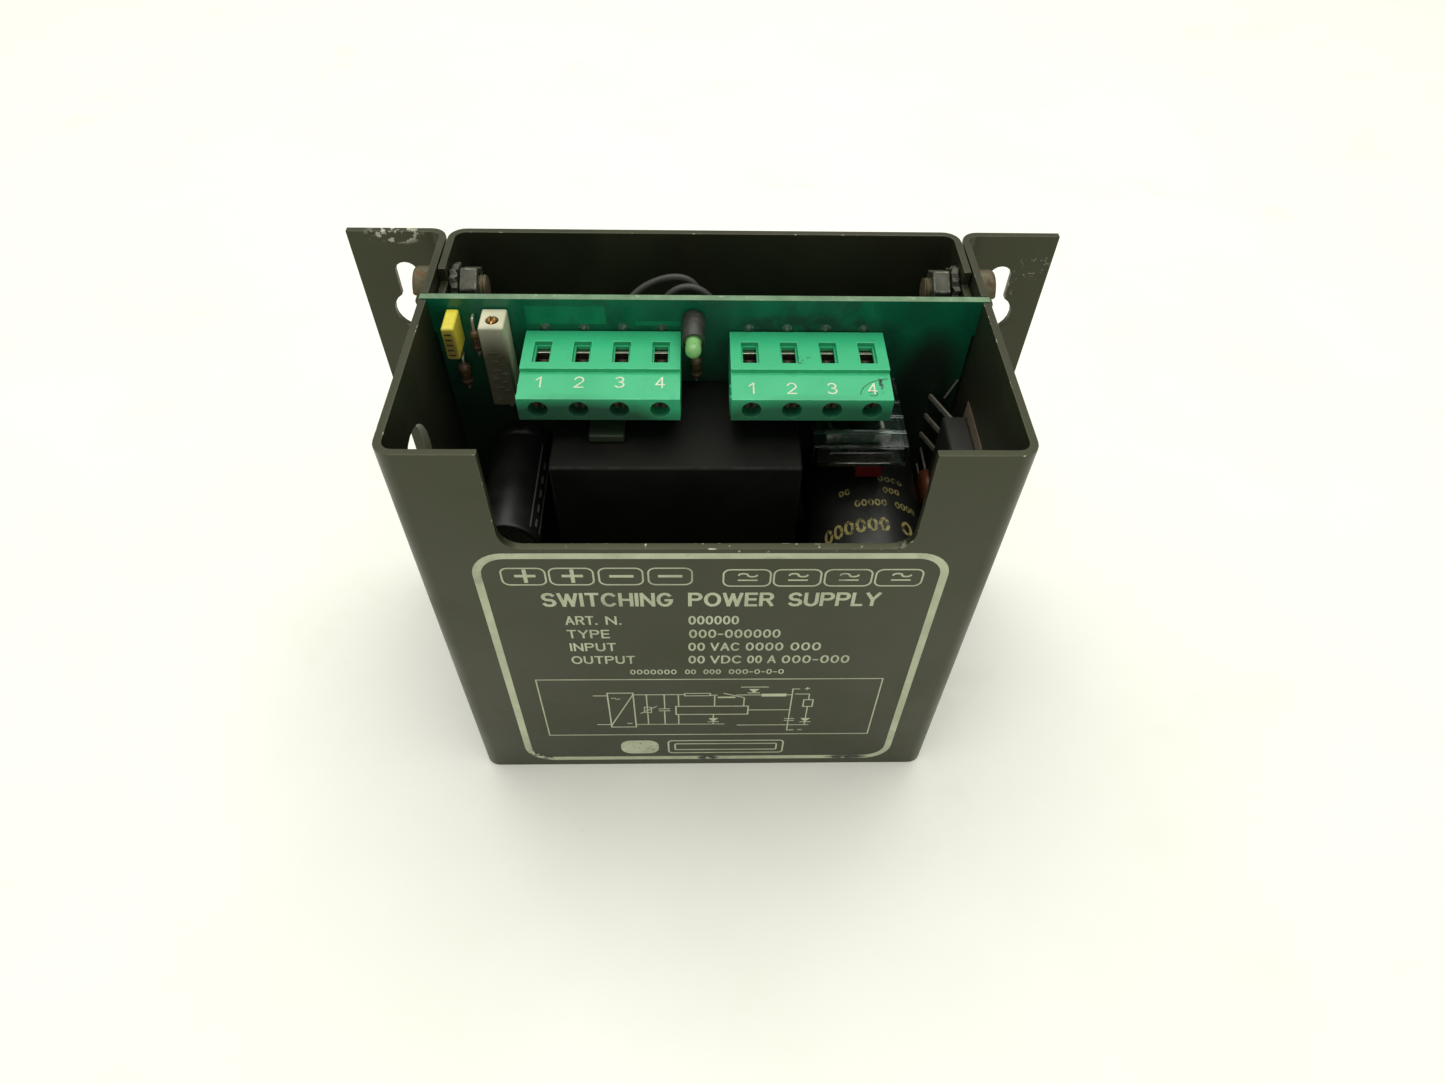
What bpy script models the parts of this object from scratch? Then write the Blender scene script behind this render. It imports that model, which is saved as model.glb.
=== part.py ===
"""Panel-mounting switching power supply, modelled piece by piece.

A folded hat-section case holds an upright circuit board, and a folded tray closes its back.
+Z is up and the printed front panel faces -Y. The origin is the bottom centre of the
bounding box, and all lengths are in metres. A `depth` is measured from the front panel's
outer face towards the mounting face.
"""

import math

import bmesh
import bpy
from mathutils import Vector

MM = 0.001

# Driving dimensions of the case.
BOX_WIDTH = 110 * MM
BOX_HEIGHT = 109 * MM
BOX_DEPTH = 67 * MM
FLANGE_REACH = 19.5 * MM
SHEET = 1.5 * MM
BEND_INNER = 2.0 * MM
BEND_OUTER = BEND_INNER + SHEET
FIT_GAP = 0.3 * MM
BEND_STEPS = 6

# Front panel's access notch.
NOTCH_HALF_WIDTH = 37.7 * MM
NOTCH_FLOOR = 85.15 * MM
NOTCH_RADIUS = 4.2 * MM

# Keyholes in the flanges, narrow end up.
KEYHOLE_X = 64.15 * MM
KEYHOLE_SLOT_RADIUS = 2.4 * MM
KEYHOLE_BULB_RADIUS = 4.8 * MM
KEYHOLE_RISE = 9.9 * MM
KEYHOLE_BULB_HEIGHTS = (9.7 * MM, 89.4 * MM)

# Tray that closes the back.
TRAY_GAP = 0.3 * MM
TRAY_LIP_DEPTH = 46.5 * MM
TRAY_STEP_DEPTH = 52.3 * MM
TRAY_STEP_DROP = 3.0 * MM

# Circuit board, with an ear at each corner.
BOARD_FRONT_DEPTH = 42.4 * MM
BOARD_THICKNESS = 1.6 * MM
BOARD_EAR_HEIGHT = 8.0 * MM

# Side fasteners: M5 slotted screw, toothed washer and nut.
FASTENER_DEPTH = 55.0 * MM
FASTENER_INSET = 6.2 * MM
FASTENER_HOLE_RADIUS = 2.75 * MM
M5_RADIUS = 2.45 * MM
M5_HEAD_RADIUS = 4.25 * MM
M5_HEAD_HEIGHT = 3.8 * MM
M5_LENGTH = 10.7 * MM
M5_SLOT = (1.3 * MM, 1.4 * MM)
NUT_FLATS = 8.0 * MM
NUT_HEIGHT = 3.5 * MM
WASHER_RADIUS = 5.0 * MM
WASHER_THICKNESS = 1.5 * MM
WASHER_TEETH = 16
WASHER_ROOT = 0.86

# Terminal blocks: four poles each, wires from above, screws from the front.
POLE_PITCH = 7.62 * MM
POLES = 4
BLOCK_WIDTH = POLES * POLE_PITCH
OUTPUT_BLOCK_X = -20.3 * MM
INPUT_BLOCK_X = 19.75 * MM
BLOCK_TOP = 101.9 * MM
BLOCK_ENTRY_FRONT_DEPTH = 30.5 * MM
BLOCK_LEDGE_DROP = 0.9 * MM
BLOCK_FRONT_DEPTH = 23.3 * MM
BLOCK_FRONT_TOP = 100.6 * MM
BLOCK_FRONT_BOTTOM = 95.4 * MM
BLOCK_UNDERSIDE = 91.0 * MM
BLOCK_HEEL_DEPTH = 31.0 * MM
ENTRY_WIDTH = 3.35 * MM
ENTRY_DEPTHS = (32.5 * MM, 38.8 * MM)
CHAMBER_WIDTH = 5.8 * MM
CHAMBER_DEPTHS = (31.0 * MM, 41.1 * MM)
CHAMBER_HEIGHTS = (92.8 * MM, 100.4 * MM)
SCREW_AXIS_HEIGHT = 98.0 * MM
SCREW_HOLE_RADIUS = 1.85 * MM

# Terminal screw and the clamp that it lifts.
CLAMP_SCREW_HEAD_DEPTH = 25.3 * MM
CLAMP_SCREW_HEAD_RADIUS = 1.6 * MM
CLAMP_SCREW_HEAD_HEIGHT = 1.5 * MM
CLAMP_SCREW_RADIUS = 1.25 * MM
CLAMP_SCREW_LENGTH = 11.7 * MM
CLAMP_SCREW_SLOT = (0.6 * MM, 0.8 * MM)
CLAMP_WIDTH = 5.0 * MM
CLAMP_DEPTHS = (31.4 * MM, 38.4 * MM)
CLAMP_HEIGHTS = (95.3 * MM, 100.0 * MM)
CLAMP_FRONT_WALL = 2.1 * MM
CLAMP_WALL = 0.8 * MM
CLAMP_BORE_RADIUS = 1.5 * MM

# Multi-turn trimmer.
TRIMMER_X = (-43.3 * MM, -38.47 * MM)
TRIMMER_DEPTHS = (35.75 * MM, 42.1 * MM)
TRIMMER_HEIGHTS = (87.95 * MM, 107.0 * MM)
TRIMMER_SCREW_DEPTH = 38.4 * MM
TRIMMER_CAVITY_SIDE = 1.5 * MM
TRIMMER_CAVITY_REACH = 1.8 * MM
TRIMMER_CAVITY_HEIGHTS = (89.4 * MM, 105.2 * MM)
TRIMMER_NECK_RADIUS = 1.25 * MM
WIPER_HEIGHT = 2.0 * MM
WIPER_CENTRE_HEIGHT = 97.3 * MM
WIPER_BORE_RADIUS = 0.9 * MM
TRIMMER_CHAMFER = 0.25 * MM
TRIMMER_SCREW = {
    "proud": 0.5 * MM,
    "head_radius": 0.95 * MM,
    "head_height": 1.6 * MM,
    "shank_radius": 0.65 * MM,
    "slot": (0.5 * MM, 0.6 * MM),
}

# Power transistor against the right wall.
TRANSISTOR_HEIGHT = 80.0 * MM
TRANSISTOR_FACE_X = 48.2 * MM
TRANSISTOR_DEPTHS = (12.3 * MM, 33.1 * MM)
TRANSISTOR_WIDTH = 15.9 * MM
TRANSISTOR_CHAMFER = 0.4 * MM
TRANSISTOR_BORE_RADIUS = 1.8 * MM
TRANSISTOR_LEAD_PITCH = 5.45 * MM
TRANSISTOR_LEAD_HALF_WIDTH = 0.6 * MM
TRANSISTOR_LEAD_HALF_THICKNESS = 0.3 * MM
TRANSISTOR_LEAD_X = 50.9 * MM
TRANSISTOR_LEAD_KNEE_DEPTH = 34.6 * MM
TRANSISTOR_LEAD_BOARD_X = 47.6 * MM
TRANSISTOR_SCREW_DEPTH = 18.4 * MM
TRANSISTOR_SCREW = {
    "head_radius": 2.9 * MM,
    "head_height": 2.0 * MM,
    "shank_radius": 1.45 * MM,
    "length": 8.5 * MM,
    "slot": (0.8 * MM, 1.0 * MM),
}

# Holes in the side walls besides those of the fasteners.
SIDE_HOLE_RADIUS = 8.6 * MM
SIDE_HOLE_DEPTH = 15.1 * MM
SIDE_HOLE_HEIGHT = 90.2 * MM
TRANSISTOR_HOLE_RADIUS = 1.75 * MM

# Electrolytic capacitors, lying towards the front panel.
BULK_CAPACITOR = {"x": 34.0 * MM, "z": 65.0 * MM, "radius": 12.5 * MM, "length": 35.0 * MM}
OUTPUT_CAPACITOR = {"x": -40.0 * MM, "z": 71.4 * MM, "radius": 6.5 * MM, "length": 30.0 * MM}
LOWER_CAPACITOR = {"x": -38.0 * MM, "z": 30.0 * MM, "radius": 8.0 * MM, "length": 28.0 * MM}

# Ceramic disc capacitor beside the right wall.
DISC_X = 48.6 * MM
DISC_DEPTH = 32.4 * MM
DISC_HEIGHT = 67.2 * MM
DISC_RADIUS = 4.2 * MM
DISC_HALF_THICKNESS = 1.5 * MM
DISC_LEAD_OFFSET = 2.5 * MM
DISC_LEAD_HALF = 0.3 * MM

# Axial resistors: x, lower and upper end, body radius, body depth, lower and upper tail.
RESISTORS = {
    "resistor_trimmer": (-45.4, 97.9, 102.7, 1.0, 40.9, 1.6, 2.6),
    "resistor_output": (-48.9, 89.5, 94.8, 1.25, 40.6, 1.4, 1.4),
    "resistor_lamp": (-2.1, 91.4, 96.4, 1.15, 40.8, 1.1, 1.1),
}
RESISTOR_LEAD_HALF = 0.3 * MM
RESISTOR_WAIST = 0.86

# Power lamp in its tubular spacer.
LAMP_X = -2.6 * MM
LAMP_HEIGHT = 104.9 * MM
LAMP_RADIUS = 1.5 * MM
LAMP_TIP_DEPTH = 30.7 * MM
LAMP_BODY_LENGTH = 3.8 * MM
LAMP_LEAD_OFFSET = 0.9 * MM
LAMP_LEAD_HALF = 0.25 * MM
SPACER_FRONT_DEPTH = 34.4 * MM
SPACER_RADIUS = 2.2 * MM

# Fuse and its clear cover.
FUSE_CENTRE = (30.1 * MM, 87.6 * MM)
FUSE_DEPTH = 27.0 * MM
FUSE_RADIUS = 1.5 * MM
FUSE_HALF_LENGTH = 6.5 * MM
FUSE_CAP_LENGTH = 3.2 * MM
FUSE_GLASS_SHRINK = 0.86
FUSE_LEAD_INSET = 1.2 * MM
FUSE_LEAD_HALF = 0.4 * MM
FUSE_COVER_HALF_WIDTH = 9.3 * MM
FUSE_COVER_HALF_HEIGHT = 2.7 * MM
FUSE_COVER_FRONT_DEPTH = 21.4 * MM
FUSE_COVER_WALL = 0.8 * MM

# Box-shaped parts in millimetres: x, depths, heights, material, chamfer, chamfer steps.
# A depth of None is the board's face.
BOXES = {
    "film_capacitor": ((-50.2, -47.8), (35.6, None), (99.7, 106.9), "yellow", 0.3, 2),
    "suppression_capacitor": ((30.4, 36.0), (24.5, None), (78.6, 84.4), "red", 0.4, 2),
    "storage_choke": ((-30.2, 18.3), (16.5, None), (54.0, 89.3), "black_case", 0.5, 2),
    "choke_spacer": ((-22.9, -16.0), (23.2, 28.5), (89.6, 91.4), "olive", 0.2, 1),
    "filter_choke": ((-20.0, 4.0), (22.0, None), (14.0, 40.0), "olive", 1.0, 2),
    "control_chip": ((15.0, 34.5), (38.7, None), (33.8, 40.2), "epoxy", 0.3, 1),
}

# Insulated jumper wires behind the board: stops of x, depth and height in millimetres.
WIRE_RADIUS = 0.9 * MM
WIRE_STOPS = {
    "jumper_wire_long": (
        (-19.6, 44.5, 93.5), (-19.6, 47.0, 93.9), (-18.4, 51.4, 98.2), (-13.6, 55.0, 102.6),
        (-7.0, 55.8, 105.0), (-2.2, 55.3, 103.4), (-0.6, 52.4, 97.2), (-0.6, 47.2, 92.7),
        (-0.6, 44.5, 92.5),
    ),
    "jumper_wire_short": (
        (-11.0, 44.5, 95.5), (-11.0, 46.6, 95.9), (-9.8, 50.0, 101.0), (-6.8, 51.3, 104.6),
        (-3.0, 51.5, 105.6), (0.6, 50.8, 103.8), (3.0, 49.4, 99.6), (3.4, 46.6, 96.2),
        (3.4, 44.5, 96.0),
    ),
}

# Rear of everything that stands on the board's front face.
SEAT_DEPTH = BOARD_FRONT_DEPTH - FIT_GAP


def depth(value):
    """World Y of a depth measured back from the front panel."""
    return value - BOX_DEPTH / 2


def principled(name, colour, roughness, metallic=0.0, transmission=0.0):
    """Make a material from a base colour, roughness and metallic value."""
    material = bpy.data.materials.new(name)
    material.use_nodes = True
    shader = material.node_tree.nodes["Principled BSDF"]
    shader.inputs["Base Color"].default_value = (*colour, 1.0)
    shader.inputs["Roughness"].default_value = roughness
    shader.inputs["Metallic"].default_value = metallic
    shader.inputs["Transmission Weight"].default_value = transmission
    material.diffuse_color = (*colour, 1.0)
    return material


def link_mesh(name, bm, material=None):
    """Turn a bmesh into a linked object with sharp edges kept at corners."""
    bmesh.ops.recalc_face_normals(bm, faces=bm.faces)
    mesh = bpy.data.meshes.new(name)
    bm.to_mesh(mesh)
    bm.free()
    mesh.shade_smooth()
    mesh.set_sharp_from_angle(angle=math.radians(35))
    obj = bpy.data.objects.new(name, mesh)
    bpy.context.scene.collection.objects.link(obj)
    if material is not None:
        mesh.materials.append(material)
    return obj


def extruded(name, outline, start, end, axis, material=None):
    """Extrude a 2-D outline along an axis; the outline lists the other two coordinates."""
    order = {"X": (2, 0, 1), "Y": (0, 2, 1), "Z": (0, 1, 2)}[axis]
    along = {"X": Vector((1, 0, 0)), "Y": Vector((0, 1, 0)), "Z": Vector((0, 0, 1))}[axis]
    bm = bmesh.new()
    verts = []
    for a, b in outline:
        flat = (a, b, start)
        verts.append(bm.verts.new([flat[i] for i in order]))
    face = bm.faces.new(verts)
    grown = bmesh.ops.extrude_face_region(bm, geom=[face], use_keep_orig=True)
    moved = [item for item in grown["geom"] if isinstance(item, bmesh.types.BMVert)]
    bmesh.ops.translate(bm, verts=moved, vec=along * (end - start))
    return link_mesh(name, bm, material)


def block(name, xs, ys, zs, material=None, bevel=0.0, bevel_steps=2):
    """A box between two X, two Y and two Z values, with optional rounded edges."""
    bm = bmesh.new()
    bmesh.ops.create_cube(bm, size=1.0)
    size = Vector((xs[1] - xs[0], ys[1] - ys[0], zs[1] - zs[0]))
    centre = Vector((xs[0] + xs[1], ys[0] + ys[1], zs[0] + zs[1])) / 2
    bmesh.ops.scale(bm, vec=size, verts=bm.verts)
    bmesh.ops.translate(bm, vec=centre, verts=bm.verts)
    if bevel:
        bmesh.ops.bevel(
            bm, geom=bm.edges[:], offset=bevel, segments=bevel_steps, affect="EDGES", profile=0.5
        )
    return link_mesh(name, bm, material)


def turned(name, profile, steps, material=None):
    """Spin a profile of (radius, height) pairs, which starts and ends on the Z axis."""
    bm = bmesh.new()
    verts = [bm.verts.new((radius, 0, height)) for radius, height in profile]
    edges = [bm.edges.new(pair) for pair in zip(verts, verts[1:])]
    bmesh.ops.spin(
        bm, geom=verts + edges, cent=(0, 0, 0), axis=(0, 0, 1), dvec=(0, 0, 0),
        angle=math.tau, steps=steps, use_merge=True, use_duplicate=False,
    )
    bmesh.ops.remove_doubles(bm, verts=bm.verts, dist=1e-6)
    bmesh.ops.dissolve_degenerate(bm, edges=bm.edges, dist=1e-6)
    return link_mesh(name, bm, material)


def ring(name, outer_radius, hole_radius, thickness, steps, material=None):
    """A flat ring from Z = 0 up, whose outer radius is a function of the angle."""
    bm = bmesh.new()
    loops = []
    for radius_at, height in (
        (outer_radius, 0.0),
        (outer_radius, thickness),
        (lambda angle: hole_radius, thickness),
        (lambda angle: hole_radius, 0.0),
    ):
        loop = []
        for step in range(steps):
            angle = math.tau * step / steps
            radius = radius_at(angle)
            loop.append(bm.verts.new((radius * math.cos(angle), radius * math.sin(angle), height)))
        loops.append(loop)
    for near, far in zip(loops, loops[1:] + loops[:1]):
        for step in range(steps):
            after = (step + 1) % steps
            bm.faces.new((near[step], near[after], far[after], far[step]))
    return link_mesh(name, bm, material)


def arc(centre, radius, start_degrees, end_degrees, steps=BEND_STEPS):
    """Points along an arc, both ends included."""
    points = []
    for step in range(steps + 1):
        angle = math.radians(start_degrees + (end_degrees - start_degrees) * step / steps)
        points.append((centre[0] + radius * math.cos(angle), centre[1] + radius * math.sin(angle)))
    return points


def hidden(obj):
    """Mark an object as a modelling helper."""
    obj.hide_render = True
    obj.display_type = "WIRE"
    return obj


def cut(target, cutter):
    """Subtract a helper solid from an object."""
    modifier = target.modifiers.new(cutter.name, "BOOLEAN")
    modifier.operation = "DIFFERENCE"
    modifier.solver = "EXACT"
    modifier.object = hidden(cutter)


def join(target, addition):
    """Add a helper solid to an object."""
    modifier = target.modifiers.new(addition.name, "BOOLEAN")
    modifier.operation = "UNION"
    modifier.solver = "EXACT"
    modifier.object = hidden(addition)


def peg(name, radius, start, end, centre, axis, steps=24):
    """A round helper along X, Y or Z; centre lists the other two coordinates."""
    outline = arc(centre, radius, 0, 360 - 360 / steps, steps - 1)
    return extruded(name, outline, start, end, axis)


def mirrored_profile(half):
    """Close a half profile with its mirror image across X = 0."""
    return half + [(-x, y) for x, y in reversed(half)]


def keyhole_outline(centre_x, bulb_height):
    """Keyhole with its round entry below and its slot above."""
    spread = math.degrees(math.asin(KEYHOLE_SLOT_RADIUS / KEYHOLE_BULB_RADIUS))
    bulb = arc((centre_x, bulb_height), KEYHOLE_BULB_RADIUS, 90 + spread, 450 - spread, 20)
    top = arc((centre_x, bulb_height + KEYHOLE_RISE), KEYHOLE_SLOT_RADIUS, 0, 180, 8)
    return bulb + top


def fastener_heights():
    """Heights of the lower and the upper pair of side fasteners."""
    return (FASTENER_INSET, BOX_HEIGHT - FASTENER_INSET)


def build_shell(material):
    """Folded front panel, side walls and rear flanges."""
    wall = BOX_WIDTH / 2
    front = depth(0)
    back = depth(BOX_DEPTH)
    flange_centre = (wall + BEND_INNER, back - BEND_OUTER)
    front_centre = (wall - BEND_OUTER, front + BEND_OUTER)
    half = arc(front_centre, BEND_OUTER, -90, 0)
    half += arc(flange_centre, BEND_INNER, 180, 90)
    half += [(wall + FLANGE_REACH, back - SHEET), (wall + FLANGE_REACH, back)]
    half += arc(flange_centre, BEND_OUTER, 90, 180)
    half += arc(front_centre, BEND_INNER, 0, -90)
    shell = extruded("outer_shell", mirrored_profile(half), 0, BOX_HEIGHT, "Z", material)

    over = BOX_HEIGHT + SHEET
    notch = [(NOTCH_HALF_WIDTH, over)]
    notch += arc(
        (NOTCH_HALF_WIDTH - NOTCH_RADIUS, NOTCH_FLOOR + NOTCH_RADIUS), NOTCH_RADIUS, 0, -90
    )
    cut(shell, extruded(
        "notch_cutter", mirrored_profile(notch), front - SHEET, front + 2 * SHEET, "Y"
    ))

    for side in (-1, 1):
        for level, bulb_height in enumerate(KEYHOLE_BULB_HEIGHTS):
            outline = keyhole_outline(side * KEYHOLE_X, bulb_height)
            cut(shell, extruded(
                f"keyhole_cutter_{side}_{level}", outline, back - 2 * SHEET, back + SHEET, "Y"
            ))

    slot_ys = (
        depth(BOARD_FRONT_DEPTH - FIT_GAP),
        depth(BOARD_FRONT_DEPTH + BOARD_THICKNESS + FIT_GAP),
    )
    ear_reach = BOARD_EAR_HEIGHT + FIT_GAP
    for level, zs in enumerate(((-SHEET, ear_reach), (BOX_HEIGHT - ear_reach, over))):
        for side in (-1, 1):
            xs = sorted((side * (wall - 2 * SHEET), side * (wall + SHEET)))
            cut(shell, block(f"ear_slot_cutter_{side}_{level}", xs, slot_ys, zs))

    cut_fastener_holes(shell)
    cut(shell, peg(
        "side_hole_cutter", SIDE_HOLE_RADIUS, -wall - SHEET, -wall + 2 * SHEET,
        (depth(SIDE_HOLE_DEPTH), SIDE_HOLE_HEIGHT), "X",
    ))
    cut(shell, peg(
        "transistor_hole_cutter", TRANSISTOR_HOLE_RADIUS, wall - 2 * SHEET, wall + SHEET,
        (depth(TRANSISTOR_SCREW_DEPTH), TRANSISTOR_HEIGHT), "X",
    ))
    return shell


def cut_fastener_holes(target):
    """Drill the four side fastener holes through both walls."""
    for level, height in enumerate(fastener_heights()):
        cut(target, peg(
            f"{target.name}_fastener_cutter_{level}", FASTENER_HOLE_RADIUS,
            -BOX_WIDTH, BOX_WIDTH, (depth(FASTENER_DEPTH), height), "X",
        ))


def build_tray(material):
    """Back plate with two side returns that lie inside the case walls."""
    outer = BOX_WIDTH / 2 - SHEET - TRAY_GAP
    back = depth(BOX_DEPTH)
    centre = (outer - BEND_OUTER, back - BEND_OUTER)
    half = arc(centre, BEND_OUTER, 90, 0)
    half += [(outer, depth(TRAY_LIP_DEPTH)), (outer - SHEET, depth(TRAY_LIP_DEPTH))]
    half += arc(centre, BEND_INNER, 0, 90)
    tray = extruded("rear_tray", mirrored_profile(half), 0, BOX_HEIGHT, "Z", material)
    ys = (depth(TRAY_LIP_DEPTH) - SHEET, depth(TRAY_STEP_DEPTH))
    xs = (-BOX_WIDTH / 2, BOX_WIDTH / 2)
    cut(tray, block("tray_step_cutter_low", xs, ys, (-SHEET, TRAY_STEP_DROP)))
    cut(tray, block(
        "tray_step_cutter_high", xs, ys, (BOX_HEIGHT - TRAY_STEP_DROP, BOX_HEIGHT + SHEET)
    ))
    cut_fastener_holes(tray)
    return tray


def build_board(material):
    """Upright circuit board whose four ears sit in the case's slots."""
    ear = BOX_WIDTH / 2
    edge = BOX_WIDTH / 2 - SHEET - FIT_GAP
    half = [
        (ear, 0),
        (ear, BOARD_EAR_HEIGHT),
        (edge, BOARD_EAR_HEIGHT),
        (edge, BOX_HEIGHT - BOARD_EAR_HEIGHT),
        (ear, BOX_HEIGHT - BOARD_EAR_HEIGHT),
        (ear, BOX_HEIGHT),
    ]
    front = depth(BOARD_FRONT_DEPTH)
    return extruded(
        "main_board", mirrored_profile(half), front, front + BOARD_THICKNESS, "Y", material
    )


def nut_radius(angle):
    """Distance from a hexagon's centre to its edge."""
    sector = math.radians(60)
    return NUT_FLATS / 2 / math.cos(angle % sector - sector / 2)


def washer_radius(angle):
    """Outline of a washer with square teeth."""
    on_tooth = math.floor(angle * WASHER_TEETH * 2 / math.tau + 0.5) % 2
    return WASHER_RADIUS if on_tooth else WASHER_ROOT * WASHER_RADIUS


def slotted_screw(name, head_radius, head_height, shank_radius, length, slot, steps, material):
    """A screw along -Z from its head at Z = 0; slot holds the slot's width and depth."""
    rim = 0.12 * head_height
    tip = 0.35 * shank_radius
    profile = [
        (0, 0),
        (head_radius - rim, 0),
        (head_radius, -rim),
        (head_radius, -head_height),
        (shank_radius, -head_height),
        (shank_radius, -head_height - length + tip),
        (shank_radius - tip, -head_height - length),
        (0, -head_height - length),
    ]
    screw = turned(name, profile, steps, material)
    width, depth_cut = slot
    cutter = block(
        f"{name}_slot_cutter", (-width / 2, width / 2), (-2 * head_radius, 2 * head_radius),
        (-depth_cut, depth_cut),
    )
    cutter.parent = screw
    cut(screw, cutter)
    return screw


def build_side_fasteners(screw_metal, washer_metal, nut_metal):
    """Four M5 screws from outside, each with a toothed washer and a nut inside."""
    wall = BOX_WIDTH / 2
    tray_face = wall - 2 * SHEET - TRAY_GAP
    for side, side_name in ((-1, "left"), (1, "right")):
        for height, level in zip(fastener_heights(), ("lower", "upper")):
            turn = (0, side * math.radians(90), 0)
            screw = slotted_screw(
                f"side_screw_{side_name}_{level}", M5_HEAD_RADIUS, M5_HEAD_HEIGHT, M5_RADIUS,
                M5_LENGTH, M5_SLOT, 24, screw_metal,
            )
            head_face = wall + FIT_GAP + M5_HEAD_HEIGHT
            screw.location = (side * head_face, depth(FASTENER_DEPTH), height)
            screw.rotation_euler = turn

            washer = ring(
                f"lock_washer_{side_name}_{level}", washer_radius, FASTENER_HOLE_RADIUS,
                WASHER_THICKNESS, 32, washer_metal,
            )
            washer_face = tray_face - FIT_GAP - WASHER_THICKNESS
            washer.location = (side * washer_face, depth(FASTENER_DEPTH), height)
            washer.rotation_euler = turn

            nut = ring(
                f"hex_nut_{side_name}_{level}", nut_radius, FASTENER_HOLE_RADIUS, NUT_HEIGHT,
                24, nut_metal,
            )
            nut_face = washer_face - FIT_GAP - NUT_HEIGHT
            nut.location = (side * nut_face, depth(FASTENER_DEPTH), height)
            nut.rotation_euler = turn


def pole_positions(centre_x):
    """X of each pole of a terminal block, left to right."""
    first = centre_x - POLE_PITCH * (POLES - 1) / 2
    return [first + POLE_PITCH * pole for pole in range(POLES)]


def build_terminal_block(prefix, centre_x, material, screw_metal, clamp_metal):
    """Moulded housing with four wire entries, each with its screw and lift clamp."""
    profile = [
        (depth(SEAT_DEPTH), BLOCK_UNDERSIDE),
        (depth(SEAT_DEPTH), BLOCK_TOP),
        (depth(BLOCK_ENTRY_FRONT_DEPTH), BLOCK_TOP),
        (depth(BLOCK_ENTRY_FRONT_DEPTH), BLOCK_TOP - BLOCK_LEDGE_DROP),
        (depth(BLOCK_FRONT_DEPTH), BLOCK_FRONT_TOP),
        (depth(BLOCK_FRONT_DEPTH), BLOCK_FRONT_BOTTOM),
        (depth(BLOCK_HEEL_DEPTH), BLOCK_UNDERSIDE),
    ]
    half = BLOCK_WIDTH / 2
    housing = extruded(
        f"{prefix}_terminal_housing", profile, centre_x - half, centre_x + half, "X", material
    )
    entry_ys = [depth(value) for value in ENTRY_DEPTHS]
    chamber_ys = [depth(value) for value in CHAMBER_DEPTHS]
    for pole, x in enumerate(pole_positions(centre_x), start=1):
        chamber = (x - CHAMBER_WIDTH / 2, x + CHAMBER_WIDTH / 2)
        entry = (x - ENTRY_WIDTH / 2, x + ENTRY_WIDTH / 2)
        cavity = block(f"{prefix}_chamber_{pole}", chamber, chamber_ys, CHAMBER_HEIGHTS)
        cut(housing, cavity)
        entry_zs = (CHAMBER_HEIGHTS[1] - MM, BLOCK_TOP + MM)
        cut(housing, block(f"{prefix}_entry_{pole}", entry, entry_ys, entry_zs))
        cut(housing, peg(
            f"{prefix}_screw_hole_{pole}", SCREW_HOLE_RADIUS, depth(BLOCK_FRONT_DEPTH - MM),
            chamber_ys[0] + MM, (x, SCREW_AXIS_HEIGHT), "Y",
        ))
        build_terminal_screw(f"{prefix}_terminal_screw_{pole}", x, screw_metal)
        build_clamp(f"{prefix}_clamp_{pole}", x, clamp_metal)


def build_terminal_screw(name, x, material):
    """Slotted terminal screw whose head faces the front."""
    screw = slotted_screw(
        name, CLAMP_SCREW_HEAD_RADIUS, CLAMP_SCREW_HEAD_HEIGHT, CLAMP_SCREW_RADIUS,
        CLAMP_SCREW_LENGTH - CLAMP_SCREW_HEAD_HEIGHT, CLAMP_SCREW_SLOT, 20, material,
    )
    screw.location = (x, depth(CLAMP_SCREW_HEAD_DEPTH), SCREW_AXIS_HEIGHT)
    screw.rotation_euler = (math.radians(90), 0, 0)


def build_clamp(name, x, material):
    """Box clamp, open upwards for the wire and bored for the screw."""
    half = CLAMP_WIDTH / 2
    ys = [depth(value) for value in CLAMP_DEPTHS]
    clamp = block(name, (x - half, x + half), ys, CLAMP_HEIGHTS, material)
    cut(clamp, block(
        f"{name}_mouth_cutter", (x - half + CLAMP_WALL, x + half - CLAMP_WALL),
        (ys[0] + CLAMP_FRONT_WALL, ys[1] - CLAMP_WALL),
        (CLAMP_HEIGHTS[0] - MM, CLAMP_HEIGHTS[1] + MM),
    ))
    cut(clamp, peg(
        f"{name}_bore_cutter", CLAMP_BORE_RADIUS, ys[0] - MM, ys[0] + CLAMP_FRONT_WALL + MM,
        (x, SCREW_AXIS_HEIGHT), "Y", 20,
    ))


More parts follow.
